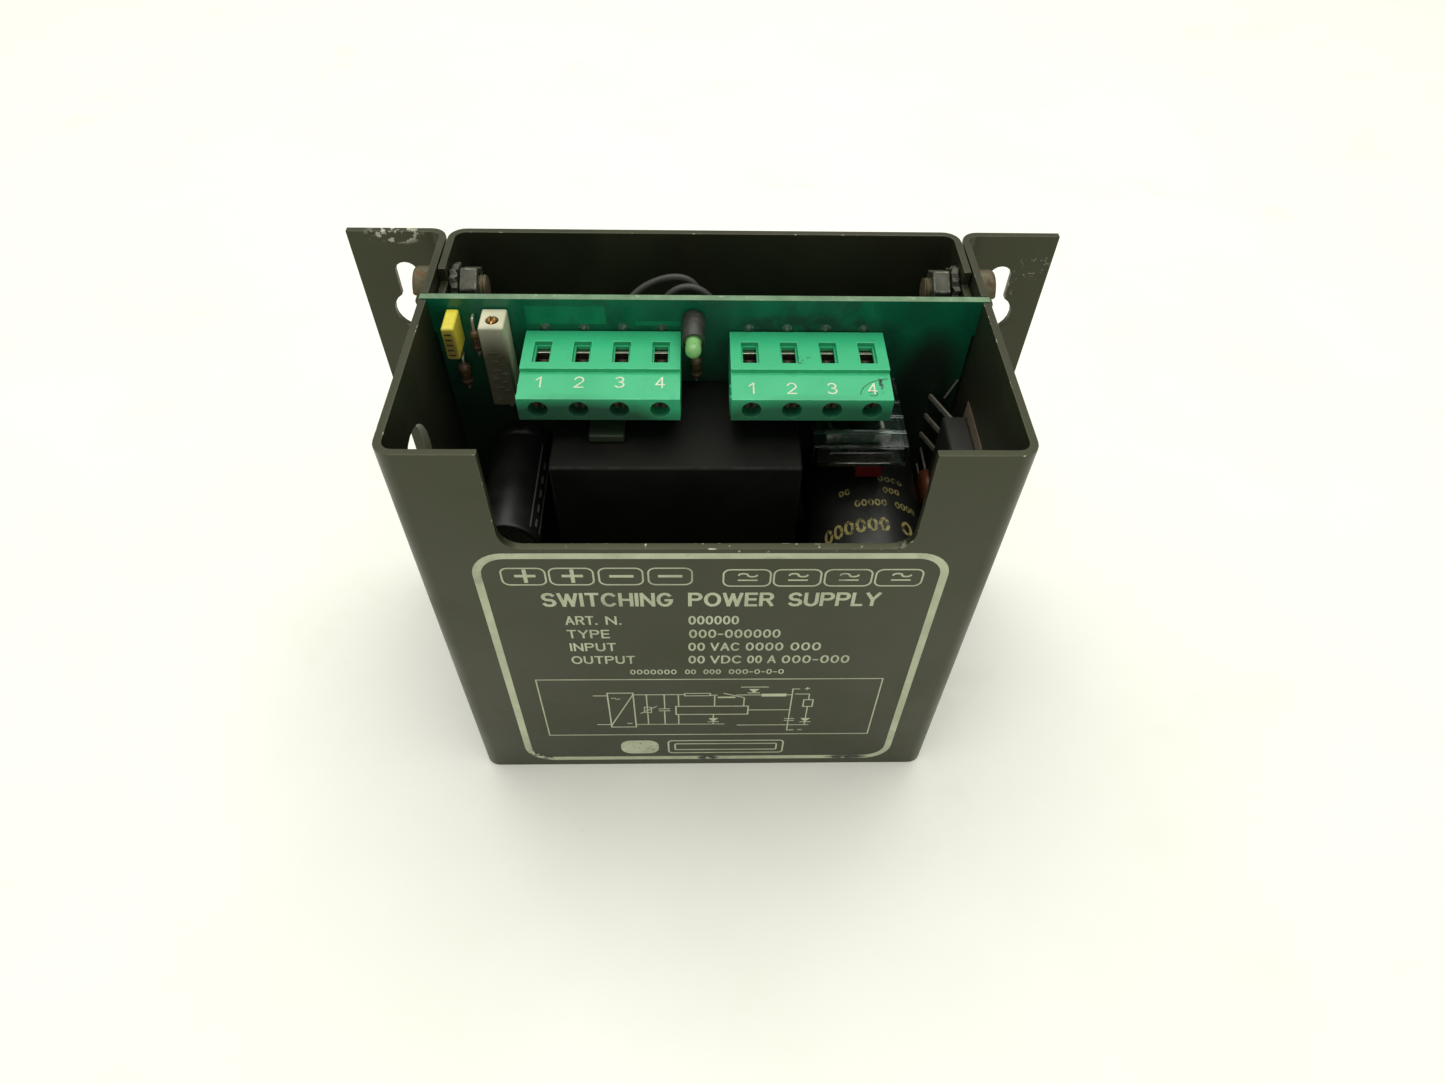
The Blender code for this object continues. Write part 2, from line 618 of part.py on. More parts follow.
def build_trimmer(body_material, screw_metal, wiper_material):
    """Voltage trimmer: hollow body, slotted lead screw and the wiper that it drives."""
    x = sum(TRIMMER_X) / 2
    y = depth(TRIMMER_SCREW_DEPTH)
    ys = [depth(value) for value in TRIMMER_DEPTHS]
    body = block(
        "trimmer_body", TRIMMER_X, ys, TRIMMER_HEIGHTS, body_material, TRIMMER_CHAMFER, 1
    )
    side = TRIMMER_CAVITY_SIDE
    reach = TRIMMER_CAVITY_REACH
    cut(body, block(
        "trimmer_cavity_cutter", (x - side, x + side), (y - reach, y + reach),
        TRIMMER_CAVITY_HEIGHTS,
    ))
    cut(body, peg(
        "trimmer_neck_cutter", TRIMMER_NECK_RADIUS, TRIMMER_CAVITY_HEIGHTS[1] - MM,
        TRIMMER_HEIGHTS[1] + MM, (x, y), "Z",
    ))

    head_top = TRIMMER_HEIGHTS[1] + TRIMMER_SCREW["proud"]
    head_height = TRIMMER_SCREW["head_height"]
    lead_length = head_top - head_height - TRIMMER_CAVITY_HEIGHTS[0] - 2 * FIT_GAP
    screw = slotted_screw(
        "trimmer_screw", TRIMMER_SCREW["head_radius"], head_height,
        TRIMMER_SCREW["shank_radius"], lead_length, TRIMMER_SCREW["slot"], 20, screw_metal,
    )
    screw.location = (x, y, head_top)

    half = WIPER_HEIGHT / 2
    wiper = block(
        "trimmer_wiper", (x - side + FIT_GAP, x + side - FIT_GAP),
        (y - reach + FIT_GAP, y + reach - FIT_GAP),
        (WIPER_CENTRE_HEIGHT - half, WIPER_CENTRE_HEIGHT + half), wiper_material,
    )
    cut(wiper, peg(
        "wiper_bore_cutter", WIPER_BORE_RADIUS, WIPER_CENTRE_HEIGHT - WIPER_HEIGHT,
        WIPER_CENTRE_HEIGHT + WIPER_HEIGHT, (x, y), "Z", 20,
    ))


def build_can_capacitor(name, layout, steps, material):
    """Electrolytic capacitor that lies towards the front panel, bung end on the board."""
    radius = layout["radius"]
    length = layout["length"]
    lip = 0.08 * radius
    groove = 0.9 * radius
    profile = [
        (0, 0),
        (radius - lip, 0),
        (radius, lip),
        (radius, 0.09 * length),
        (groove, 0.11 * length),
        (radius, 0.13 * length),
        (radius, length - lip),
        (radius - lip, length),
        (radius - 1.6 * lip, length),
        (radius - 1.9 * lip, length - 0.5 * lip),
        (0, length - 0.5 * lip),
    ]
    can = turned(name, profile, steps, material)
    can.location = (layout["x"], depth(SEAT_DEPTH), layout["z"])
    can.rotation_euler = (math.radians(90), 0, 0)
    return can


def build_resistor(name, material):
    """Upright axial resistor with both leads bent into the board."""
    x, low, high, cap, body_depth, low_tail, high_tail = (v * MM for v in RESISTORS[name])
    neck = RESISTOR_WAIST * cap
    length = high - low
    end = 0.24 * length
    profile = [
        (0, 0),
        (0.6 * cap, 0),
        (cap, 0.3 * cap),
        (cap, end),
        (neck, end + 0.25 * cap),
        (neck, length - end - 0.25 * cap),
        (cap, length - end),
        (cap, length - 0.3 * cap),
        (0.6 * cap, length),
        (0, length),
    ]
    body = turned(name, profile, 16, material)
    body.location = (x, depth(body_depth), low)
    wire = RESISTOR_LEAD_HALF
    bottom = low - low_tail
    top = high + high_tail
    y_axis = depth(body_depth)
    y_seat = depth(SEAT_DEPTH)
    staple = [
        (y_seat, bottom - wire),
        (y_axis - wire, bottom - wire),
        (y_axis - wire, top + wire),
        (y_seat, top + wire),
        (y_seat, top - wire),
        (y_axis + wire, top - wire),
        (y_axis + wire, bottom + wire),
        (y_seat, bottom + wire),
    ]
    join(body, extruded(f"{name}_leads", staple, x - wire, x + wire, "X"))
    return body


def build_lamp(lens_material, spacer_material):
    """Power lamp held off the board by a tubular spacer."""
    spacer_length = SEAT_DEPTH - SPACER_FRONT_DEPTH
    spacer = ring(
        "lamp_spacer", lambda angle: SPACER_RADIUS, LAMP_RADIUS + FIT_GAP, spacer_length, 24,
        spacer_material,
    )
    spacer.location = (LAMP_X, depth(SEAT_DEPTH), LAMP_HEIGHT)
    spacer.rotation_euler = (math.radians(90), 0, 0)

    body_length = LAMP_BODY_LENGTH
    dome = [
        (LAMP_RADIUS * math.cos(angle), body_length + LAMP_RADIUS * math.sin(angle))
        for angle in (math.radians(90 * step / 6) for step in range(7))
    ]
    dome[-1] = (0, body_length + LAMP_RADIUS)
    lamp = turned("power_lamp", [(0, 0), (LAMP_RADIUS, 0)] + dome, 24, lens_material)
    base_depth = LAMP_TIP_DEPTH + body_length + LAMP_RADIUS
    lamp.location = (LAMP_X, depth(base_depth), LAMP_HEIGHT)
    lamp.rotation_euler = (math.radians(90), 0, 0)
    half = LAMP_LEAD_HALF
    for side in (-1, 1):
        x = LAMP_X + side * LAMP_LEAD_OFFSET
        join(lamp, block(
            f"lamp_lead_{side}", (x - half, x + half), (depth(base_depth - MM), depth(SEAT_DEPTH)),
            (LAMP_HEIGHT - half, LAMP_HEIGHT + half),
        ))


def build_transistor(material, screw_metal):
    """Power transistor against the right wall, with three leads bent into the board."""
    wall_face = BOX_WIDTH / 2 - SHEET - FIT_GAP
    ys = [depth(value) for value in TRANSISTOR_DEPTHS]
    half = TRANSISTOR_WIDTH / 2
    zs = (TRANSISTOR_HEIGHT - half, TRANSISTOR_HEIGHT + half)
    body = block(
        "power_transistor", (TRANSISTOR_FACE_X, wall_face), ys, zs, material,
        TRANSISTOR_CHAMFER, 1,
    )
    lead_x = TRANSISTOR_LEAD_X
    board_x = TRANSISTOR_LEAD_BOARD_X
    half_thick = TRANSISTOR_LEAD_HALF_THICKNESS
    knee = depth(TRANSISTOR_LEAD_KNEE_DEPTH)
    seat = depth(SEAT_DEPTH)
    slanted = [
        (lead_x - half_thick, ys[1] - MM),
        (lead_x + half_thick, ys[1] - MM),
        (lead_x + half_thick, knee),
        (board_x + half_thick, seat),
        (board_x - half_thick, seat),
        (lead_x - half_thick, knee),
    ]
    for index in (-1, 0, 1):
        height = TRANSISTOR_HEIGHT + index * TRANSISTOR_LEAD_PITCH
        join(body, extruded(
            f"transistor_lead_{index}", slanted, height - TRANSISTOR_LEAD_HALF_WIDTH,
            height + TRANSISTOR_LEAD_HALF_WIDTH, "Z",
        ))
    screw_y = depth(TRANSISTOR_SCREW_DEPTH)
    cut(body, peg(
        "transistor_bore_cutter", TRANSISTOR_BORE_RADIUS, TRANSISTOR_FACE_X - MM, wall_face + MM,
        (screw_y, TRANSISTOR_HEIGHT), "X", 20,
    ))
    screw = slotted_screw(
        "transistor_screw", steps=20, material=screw_metal, **TRANSISTOR_SCREW
    )
    head_face = TRANSISTOR_FACE_X - FIT_GAP - TRANSISTOR_SCREW["head_height"]
    screw.location = (head_face, screw_y, TRANSISTOR_HEIGHT)
    screw.rotation_euler = (0, math.radians(-90), 0)


def build_fuse(cover_material, fuse_material):
    """Miniature fuse under a clear cover that is open towards the board."""
    half_x = FUSE_COVER_HALF_WIDTH
    half_z = FUSE_COVER_HALF_HEIGHT
    wall = FUSE_COVER_WALL
    x, z = FUSE_CENTRE
    front = depth(FUSE_COVER_FRONT_DEPTH)
    seat = depth(SEAT_DEPTH)
    cover = block(
        "fuse_cover", (x - half_x, x + half_x), (front, seat), (z - half_z, z + half_z),
        cover_material,
    )
    cut(cover, block(
        "fuse_cover_cutter", (x - half_x + wall, x + half_x - wall), (front + wall, seat + MM),
        (z - half_z + wall, z + half_z - wall),
    ))
    radius = FUSE_RADIUS
    half = FUSE_HALF_LENGTH
    cap = FUSE_CAP_LENGTH
    glass = FUSE_GLASS_SHRINK * radius
    profile = [
        (0, 0),
        (radius, 0),
        (radius, cap),
        (glass, cap),
        (glass, 2 * half - cap),
        (radius, 2 * half - cap),
        (radius, 2 * half),
        (0, 2 * half),
    ]
    fuse = turned("fuse_link", profile, 16, fuse_material)
    fuse_y = depth(FUSE_DEPTH)
    fuse.location = (x - half, fuse_y, z)
    fuse.rotation_euler = (0, math.radians(90), 0)
    for side in (-1, 1):
        lead = x + side * (half - FUSE_LEAD_INSET)
        join(fuse, block(
            f"fuse_lead_{side}", (lead - FUSE_LEAD_HALF, lead + FUSE_LEAD_HALF),
            (fuse_y, seat), (z - FUSE_LEAD_HALF, z + FUSE_LEAD_HALF),
        ))


def smooth_route(stops, per_span):
    """Points on a Catmull-Rom curve through the stops."""
    padded = [2 * stops[0] - stops[1]] + stops + [2 * stops[-1] - stops[-2]]
    points = []
    for before, start, end, after in zip(padded, padded[1:], padded[2:], padded[3:]):
        for step in range(per_span):
            t = step / per_span
            points.append(0.5 * (
                2 * start
                + (end - before) * t
                + (2 * before - 5 * start + 4 * end - after) * t ** 2
                + (3 * start - before - 3 * end + after) * t ** 3
            ))
    points.append(stops[-1])
    return points


def build_wire(name, material):
    """Insulated jumper wire behind the board, through its stops."""
    stops = [Vector((x * MM, depth(y * MM), z * MM)) for x, y, z in WIRE_STOPS[name]]
    points = smooth_route(stops, 3)
    curve = bpy.data.curves.new(name, "CURVE")
    curve.dimensions = "3D"
    curve.bevel_depth = WIRE_RADIUS
    curve.bevel_resolution = 2
    curve.use_fill_caps = True
    spline = curve.splines.new("POLY")
    spline.points.add(len(points) - 1)
    for slot, point in zip(spline.points, points):
        slot.co = (*point, 1.0)
    curve.materials.append(material)
    wire = bpy.data.objects.new(name, curve)
    bpy.context.scene.collection.objects.link(wire)


def build_boxes(materials):
    """Box-shaped parts: film capacitors, chokes, spacer block and control chip."""
    for name, (xs, depths, heights, kind, chamfer, steps) in BOXES.items():
        ys = [depth(SEAT_DEPTH if value is None else value * MM) for value in depths]
        block(
            name, [x * MM for x in xs], ys, [z * MM for z in heights], materials[kind],
            chamfer * MM, steps,
        )


def build_disc_capacitor(material):
    """Ceramic disc beside the right wall, with a slab of leads into the board."""
    radius = DISC_RADIUS
    half = DISC_HALF_THICKNESS
    profile = [(0, -half), (0.8 * radius, -half), (radius, -0.4 * half)]
    profile += [(r, -h) for r, h in reversed(profile)]
    disc = turned("disc_capacitor", profile, 20, material)
    y = depth(DISC_DEPTH)
    disc.location = (DISC_X, y, DISC_HEIGHT)
    disc.rotation_euler = (0, math.radians(90), 0)
    for side in (-1, 1):
        lead = DISC_HEIGHT + side * DISC_LEAD_OFFSET
        join(disc, block(
            f"disc_lead_{side}", (DISC_X - DISC_LEAD_HALF, DISC_X + DISC_LEAD_HALF),
            (y, depth(SEAT_DEPTH)), (lead - DISC_LEAD_HALF, lead + DISC_LEAD_HALF),
        ))


def clear_scene():
    """Remove every object that the file starts with."""
    for obj in list(bpy.data.objects):
        bpy.data.objects.remove(obj, do_unlink=True)


def make_materials():
    """One material for each kind of surface."""
    return {
        "paint": principled("black_paint", (0.035, 0.035, 0.028), 0.42, 0.1),
        "board": principled("green_board", (0.01, 0.16, 0.08), 0.38),
        "green": principled("green_moulding", (0.09, 0.62, 0.28), 0.42),
        "steel": principled("zinc_steel", (0.55, 0.55, 0.52), 0.38, 1.0),
        "rusty": principled("browned_steel", (0.20, 0.12, 0.07), 0.6, 0.8),
        "nut": principled("dull_nut_steel", (0.42, 0.40, 0.36), 0.5, 1.0),
        "clamp": principled("clamp_steel", (0.62, 0.60, 0.55), 0.35, 1.0),
        "brass": principled("brass", (0.75, 0.52, 0.22), 0.35, 1.0),
        "beige": principled("beige_case", (0.66, 0.64, 0.55), 0.5),
        "yellow": principled("yellow_case", (0.80, 0.62, 0.10), 0.4),
        "red": principled("red_case", (0.45, 0.03, 0.02), 0.4),
        "orange": principled("orange_coating", (0.75, 0.25, 0.08), 0.5),
        "olive": principled("olive_insulator", (0.35, 0.36, 0.18), 0.6),
        "black_case": principled("black_case", (0.02, 0.02, 0.02), 0.45),
        "sleeve": principled("black_sleeve", (0.012, 0.013, 0.014), 0.3),
        "epoxy": principled("transistor_epoxy", (0.05, 0.045, 0.04), 0.55),
        "resistor": principled("tan_resistor", (0.48, 0.28, 0.14), 0.45),
        "lamp": principled("lamp_green", (0.25, 0.75, 0.25), 0.15, 0.0, 0.6),
        "clear": principled("clear_plastic", (0.85, 0.9, 0.9), 0.12, 0.0, 0.9),
        "fuse": principled("fuse_glass", (0.7, 0.72, 0.7), 0.2, 0.3),
        "wire": principled("black_insulation", (0.015, 0.015, 0.015), 0.4),
    }


def main():
    clear_scene()
    materials = make_materials()
    build_shell(materials["paint"])
    build_tray(materials["paint"])
    build_board(materials["board"])
    build_side_fasteners(materials["rusty"], materials["steel"], materials["nut"])
    for prefix, x in (("output", OUTPUT_BLOCK_X), ("input", INPUT_BLOCK_X)):
        build_terminal_block(prefix, x, materials["green"], materials["steel"], materials["clamp"])
    build_trimmer(materials["beige"], materials["brass"], materials["steel"])
    build_lamp(materials["lamp"], materials["black_case"])
    build_can_capacitor("bulk_capacitor", BULK_CAPACITOR, 48, materials["sleeve"])
    build_can_capacitor("output_capacitor", OUTPUT_CAPACITOR, 32, materials["sleeve"])
    build_can_capacitor("lower_capacitor", LOWER_CAPACITOR, 32, materials["sleeve"])
    for name in RESISTORS:
        build_resistor(name, materials["resistor"])
    build_boxes(materials)
    build_disc_capacitor(materials["orange"])
    build_transistor(materials["epoxy"], materials["steel"])
    build_fuse(materials["clear"], materials["fuse"])
    for name in WIRE_STOPS:
        build_wire(name, materials["wire"])


main()
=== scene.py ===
"""Finished surfaces and small details for a panel-mount switching power supply.

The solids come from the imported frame. Each operator dresses one group of parts.
"""

import math

import bmesh
import bpy
from mathutils import Matrix, Vector


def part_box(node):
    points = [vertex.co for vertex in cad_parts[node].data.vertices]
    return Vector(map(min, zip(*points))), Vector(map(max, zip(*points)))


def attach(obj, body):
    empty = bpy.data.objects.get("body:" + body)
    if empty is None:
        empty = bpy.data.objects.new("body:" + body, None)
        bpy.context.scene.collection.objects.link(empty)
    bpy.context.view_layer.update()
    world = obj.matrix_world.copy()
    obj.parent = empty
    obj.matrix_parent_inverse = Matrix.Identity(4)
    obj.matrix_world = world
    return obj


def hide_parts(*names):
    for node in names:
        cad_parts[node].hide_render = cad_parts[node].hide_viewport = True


bl_info = {
    "name": "Switching power supply dresser",
    "version": (1, 0, 0),
    "blender": (4, 5, 0),
    "location": "3D View > Sidebar > Supply",
    "description": "Dresses the frame of a panel-mount switching power supply",
    "category": "Object",
}

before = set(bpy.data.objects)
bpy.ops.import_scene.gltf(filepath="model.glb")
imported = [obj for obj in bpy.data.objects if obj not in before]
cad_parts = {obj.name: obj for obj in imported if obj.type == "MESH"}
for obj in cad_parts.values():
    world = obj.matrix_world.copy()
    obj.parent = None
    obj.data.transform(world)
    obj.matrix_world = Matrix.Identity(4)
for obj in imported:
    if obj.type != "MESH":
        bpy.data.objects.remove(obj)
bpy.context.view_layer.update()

MM = 0.001
FRONT_Y = -33.5 * MM

POLE_PITCH = 7.62
BLOCK_CENTRES = {"output": -20.3, "input": 19.75}
BLOCK_FRONT_DEPTH = 23.3
MARKING_FRONT_HEIGHT = 100.6
MARKING_TILT = math.atan(0.4 / 7.2)
DIGIT_DEPTHS = {"output": 27.75, "input": 26.3}
SIDE_RIB_DEPTHS = (24.4, 27.4)
CONTACT_BARS = ((93.7, 37.5, 98.6), (93.0, 41.0, 93.75))  # underside, back, top
BOARD_FRONT = 42.4
BOARD_BACK = 44.0
PART_SEAT = 42.1  # bases of the parts that stand on the board
LEAD_TIP = 44.6  # ends of their leads, just behind the board
CLIP_TIP = 44.4  # ends of the fuse clips and of the chip's legs
SIDES = ("left", "right")
LEVELS = {"lower": 6.2, "upper": 102.8}
FASTENER_DEPTH = 55.0
THREAD_START = 44.75  # distance from the middle plane to a screw thread's inner end
THREAD_LENGTH = 4.9
TOOTH_ROOT, HALF_TEETH = 4.7, 32  # lock washer: radius under the teeth, and their number
LAMP_X, LAMP_Z = -2.6, 104.9
CHIP_PINS = [17.1 + 2.54 * column for column in range(7)]
# Each can's x, height, radius and length.
CANS = {
    "bulk_capacitor": (34.0, 65.0, 12.5, 35.0),
    "output_capacitor": (-40.0, 71.4, 6.5, 30.0),
    "lower_capacitor": (-38.0, 30.0, 8.0, 28.0),
}
# Each resistor's x, lower end, upper end, radius, depth and the reach of its leads.
RESISTORS = {
    "resistor_trimmer": (-45.4, 97.9, 102.7, 1.0, 40.9, (1.6, 2.6)),
    "resistor_output": (-48.9, 89.5, 94.8, 1.25, 40.6, (1.4, 1.4)),
    "resistor_lamp": (-2.1, 91.4, 96.4, 1.15, 40.8, (1.1, 1.1)),
}
# A resistor's outline as parts of its radius and length, and its bands: from, to, finish.
RESISTOR_PROFILE = (
    (0, 0), (0.25, 0), (0.7, 0.04), (0.95, 0.1), (1.0, 0.16), (1.0, 0.22), (0.97, 0.26),
    (0.88, 0.31), (0.86, 0.36), (0.86, 0.42), (0.86, 0.48), (0.86, 0.54), (0.86, 0.6),
    (0.86, 0.66), (0.88, 0.7), (0.97, 0.74), (1.0, 0.78), (1.0, 0.84), (0.95, 0.9),
    (0.7, 0.96), (0.25, 1.0), (0, 1.0),
)
RESISTOR_BANDS = ((0.16, 0.22, 1), (0.36, 0.42, 1), (0.48, 0.54, 1), (0.78, 0.84, 2))

FLOOR_REACH = 6.0  # metres from the middle to the floor's edges
SOFTBOX_PLACE, SOFTBOX_TARGET, SOFTBOX_SIDE = (0.0, 0.25, 1.3), (0.0, 0.1, 0.0), 1.5
CAMERA_PLACE = (-1.71, -140.45, 214.5)  # in millimetres
CAMERA_TURNS = ((-2.35, "Z"), (-49.942, "X"), (-1.77, "Y"), (90, "X"))
SENSOR_WIDTH = 36.0

TO_METRES = Matrix.Diagonal((MM, MM, MM, 1))
UPRIGHT = Matrix.Rotation(math.radians(90), 4, "X")  # takes a flat drawing to the front plane


def at(x, depth, z):
    """Point in metres from millimetres: x, depth behind the front panel, height."""
    return Vector((x * MM, FRONT_Y + depth * MM, z * MM))


def linear(code):
    """Scene-linear colour of an sRGB hex value."""
    parts = [int(code[i:i + 2], 16) / 255 for i in (1, 3, 5)]
    return tuple(
        c / 12.92 if c <= 0.04045 else ((c + 0.055) / 1.055) ** 2.4 for c in parts
    ) + (1.0,)


def pole_positions(block):
    """X of a terminal block's four poles, in millimetres."""
    first = BLOCK_CENTRES[block] - 1.5 * POLE_PITCH
    return [first + POLE_PITCH * pole for pole in range(4)]


# ---------------------------------------------------------------- settings


class PSU_CaseSettings(bpy.types.PropertyGroup):
    """Sizes and colours of the folded case and its print."""

    edge_radius: bpy.props.FloatProperty(
        name="Edge radius", description="Rounding of the sheet's cut edges",
        default=0.16 * MM, min=0.0, subtype="DISTANCE", unit="LENGTH",
    )
    paint: bpy.props.FloatVectorProperty(
        name="Paint", description="Colour of the black paint",
        default=linear("#24261c"), size=4, subtype="COLOR",
    )
    ink: bpy.props.FloatVectorProperty(
        name="Print", description="Colour of the screen print",
        default=linear("#c2c8aa"), size=4, subtype="COLOR",
    )
    ink_thickness: bpy.props.FloatProperty(
        name="Print thickness", description="Height of the print over the paint",
        default=0.03 * MM, min=0.0, subtype="DISTANCE", unit="LENGTH",
    )


class PSU_PartSettings(bpy.types.PropertyGroup):
    """Colours of the board and of the parts on it."""

    moulding: bpy.props.FloatVectorProperty(
        name="Terminals", description="Colour of the terminal housings",
        default=linear("#35b57e"), size=4, subtype="COLOR",
    )
    mask: bpy.props.FloatVectorProperty(
        name="Board", description="Colour of the solder mask",
        default=linear("#0b6a4b"), size=4, subtype="COLOR",
    )
    thread_pitch: bpy.props.FloatProperty(
        name="Thread pitch", description="Pitch of the side screws' thread",
        default=0.8 * MM, min=0.2 * MM, subtype="DISTANCE", unit="LENGTH",
    )


class PSU_StageSettings(bpy.types.PropertyGroup):
    """Floor, light and camera."""

    floor: bpy.props.FloatVectorProperty(
        name="Floor", description="Colour of the floor",
        default=linear("#f8f9f4"), size=4, subtype="COLOR",
    )
    ambient: bpy.props.FloatProperty(
        name="Ambient", description="Strength of the even light", default=0.54, min=0.0,
    )
    softbox: bpy.props.FloatProperty(
        name="Softbox", description="Power of the overhead light",
        default=16.5, min=0.0, subtype="POWER",
    )
    lens: bpy.props.FloatProperty(
        name="Lens", description="Focal length of the camera",
        default=22.92, min=1.0, subtype="DISTANCE_CAMERA",
    )


# ---------------------------------------------------------------- materials


def add(tree, kind, settings=(), sockets=()):
    """Add a node with its properties and its sockets' values or sources."""
    node = tree.nodes.new(kind)
    for key, value in dict(settings).items():
        setattr(node, key, value)
    for key, value in dict(sockets).items():
        if isinstance(value, bpy.types.NodeSocket):
            tree.links.new(value, node.inputs[key])
        else:
            node.inputs[key].default_value = value
    return node


def layer_mask(tree, place, layer):
    """How much of a layer shows at each point: patchy noise, inside its region."""
    patches = add(tree, "ShaderNodeTexNoise", {}, {
        "Vector": place, "Scale": 1 / (layer["size"] * MM), "Detail": 4.0,
        "Roughness": 0.62,
    }).outputs["Fac"]
    low, high = layer["keep"]
    mask = add(tree, "ShaderNodeMapRange", {"clamp": True}, {
        "Value": patches, "From Min": low, "From Max": high,
        "To Min": 0.0, "To Max": layer.get("most", 1.0),
    }).outputs["Result"]
    if "near" in layer:
        centre, radii = layer["near"]
        offset = add(tree, "ShaderNodeVectorMath", {"operation": "SUBTRACT"}, {
            0: place, 1: at(*centre),
        }).outputs[0]
        scaled = add(tree, "ShaderNodeVectorMath", {"operation": "MULTIPLY"}, {
            0: offset, 1: [1 / (radius * MM) for radius in radii],
        }).outputs[0]
        length = add(tree, "ShaderNodeVectorMath", {"operation": "LENGTH"}, {
            0: scaled,
        }).outputs["Value"]
        inside = add(tree, "ShaderNodeMapRange", {"clamp": True}, {
            "Value": length, "From Min": 1.0, "From Max": 0.6, "To Min": 0.0, "To Max": 1.0,
        }).outputs["Result"]
        mask = add(tree, "ShaderNodeMath", {"operation": "MULTIPLY"}, {
            0: mask, 1: inside,
        }).outputs[0]
    if layer.get("edge"):
        edge = add(tree, "ShaderNodeAttribute", {"attribute_name": "edge"}).outputs["Fac"]
        mask = add(tree, "ShaderNodeMath", {"operation": "MULTIPLY"}, {
            0: mask, 1: edge,
        }).outputs[0]
    return mask


def tone_of(code):
    """Colour of a hex value, or of a setting such as psu_case.paint."""
    if code.startswith("#"):
        return linear(code)
    group, key = code.split(".")
    return getattr(getattr(bpy.context.scene, group), key)


def surface(name, base, second, rough, mottle, grain, bump, layers, metallic, fixed):
    """A procedural finish.

    base and second are its two tones, mixed in patches of mottle mm; rough is the
    range of roughness over the same patches; grain (mm) and bump (mm) are the relief.
    Each layer paints wear, dirt or painted light and shade over that. fixed holds sockets with one
    value.
    """
    material = bpy.data.materials.new(name)
    material.use_nodes = True
    tree = material.node_tree
    tree.nodes.clear()
    shader = add(tree, "ShaderNodeBsdfPrincipled", {}, fixed)
    shader.inputs["Metallic"].default_value = metallic
    output = add(tree, "ShaderNodeOutputMaterial", {}, {"Surface": shader.outputs[0]})
    output.name = "Output"
    place = add(tree, "ShaderNodeTexCoord").outputs["Object"]
    patches = add(tree, "ShaderNodeTexNoise", {}, {
        "Vector": place, "Scale": 1 / (mottle * MM), "Detail": 5.0, "Roughness": 0.6,
    }).outputs["Fac"]
    tone = add(tree, "ShaderNodeMapRange", {"clamp": True}, {
        "Value": patches, "From Min": 0.35, "From Max": 0.65,
    }).outputs["Result"]
    colour = add(tree, "ShaderNodeMix", {"data_type": "RGBA"}, {
        0: tone, 6: tone_of(base), 7: tone_of(second),
    }).outputs[2]
    roughness = add(tree, "ShaderNodeMapRange", {"clamp": True}, {
        "Value": tone, "To Min": rough[0], "To Max": rough[1],
    }).outputs["Result"]
    relief = add(tree, "ShaderNodeTexNoise", {}, {
        "Vector": place, "Scale": 1 / (grain * MM), "Detail": 3.0, "Roughness": 0.5,
    }).outputs["Fac"]
    metal = None
    for layer in layers:
        mask = layer_mask(tree, place, layer)
        colour = add(tree, "ShaderNodeMix", {"data_type": "RGBA"}, {
            0: mask, 6: colour, 7: linear(layer["colour"]),
        }).outputs[2]
        roughness = add(tree, "ShaderNodeMix", {"data_type": "FLOAT"}, {
            0: mask, 2: roughness, 3: layer["rough"],
        }).outputs[0]
        if layer.get("metal", metallic) != metallic:
            metal = add(tree, "ShaderNodeMix", {"data_type": "FLOAT"}, {
                0: mask, 2: metallic if metal is None else metal, 3: layer["metal"],
            }).outputs[0]
        if layer.get("raised"):
            relief = add(tree, "ShaderNodeMath", {"operation": "MULTIPLY_ADD"}, {
                0: mask, 1: layer["raised"], 2: relief,
            }).outputs[0]
    if metal is not None:
        tree.links.new(metal, shader.inputs["Metallic"])
    normal = add(tree, "ShaderNodeBump", {}, {
        "Height": relief, "Distance": bump * MM, "Strength": 1.0,
    }).outputs["Normal"]
    tree.links.new(colour, shader.inputs["Base Color"])
    tree.links.new(roughness, shader.inputs["Roughness"])
    tree.links.new(normal, shader.inputs["Normal"])
    return material


def wear(size, low, high, colour, rough, **more):
    """A layer of wear, dirt or painted light: patch size in mm, the noise range it comes in over,
    its look.

    more: edge keeps it to roundings, near to a region (centre, radii in mm), most is its
    strength, metal its metalness and raised its height in the relief.
    """
    return {"size": size, "keep": (low, high), "colour": colour, "rough": rough, **more}


def recipe(name, base, second, rough, mottle, grain, bump, *layers, metallic=0.0, fixed=()):
    """What surface needs for one finish, held until a piece asks for it."""
    return name, base, second, rough, mottle, grain, bump, layers, metallic, fixed


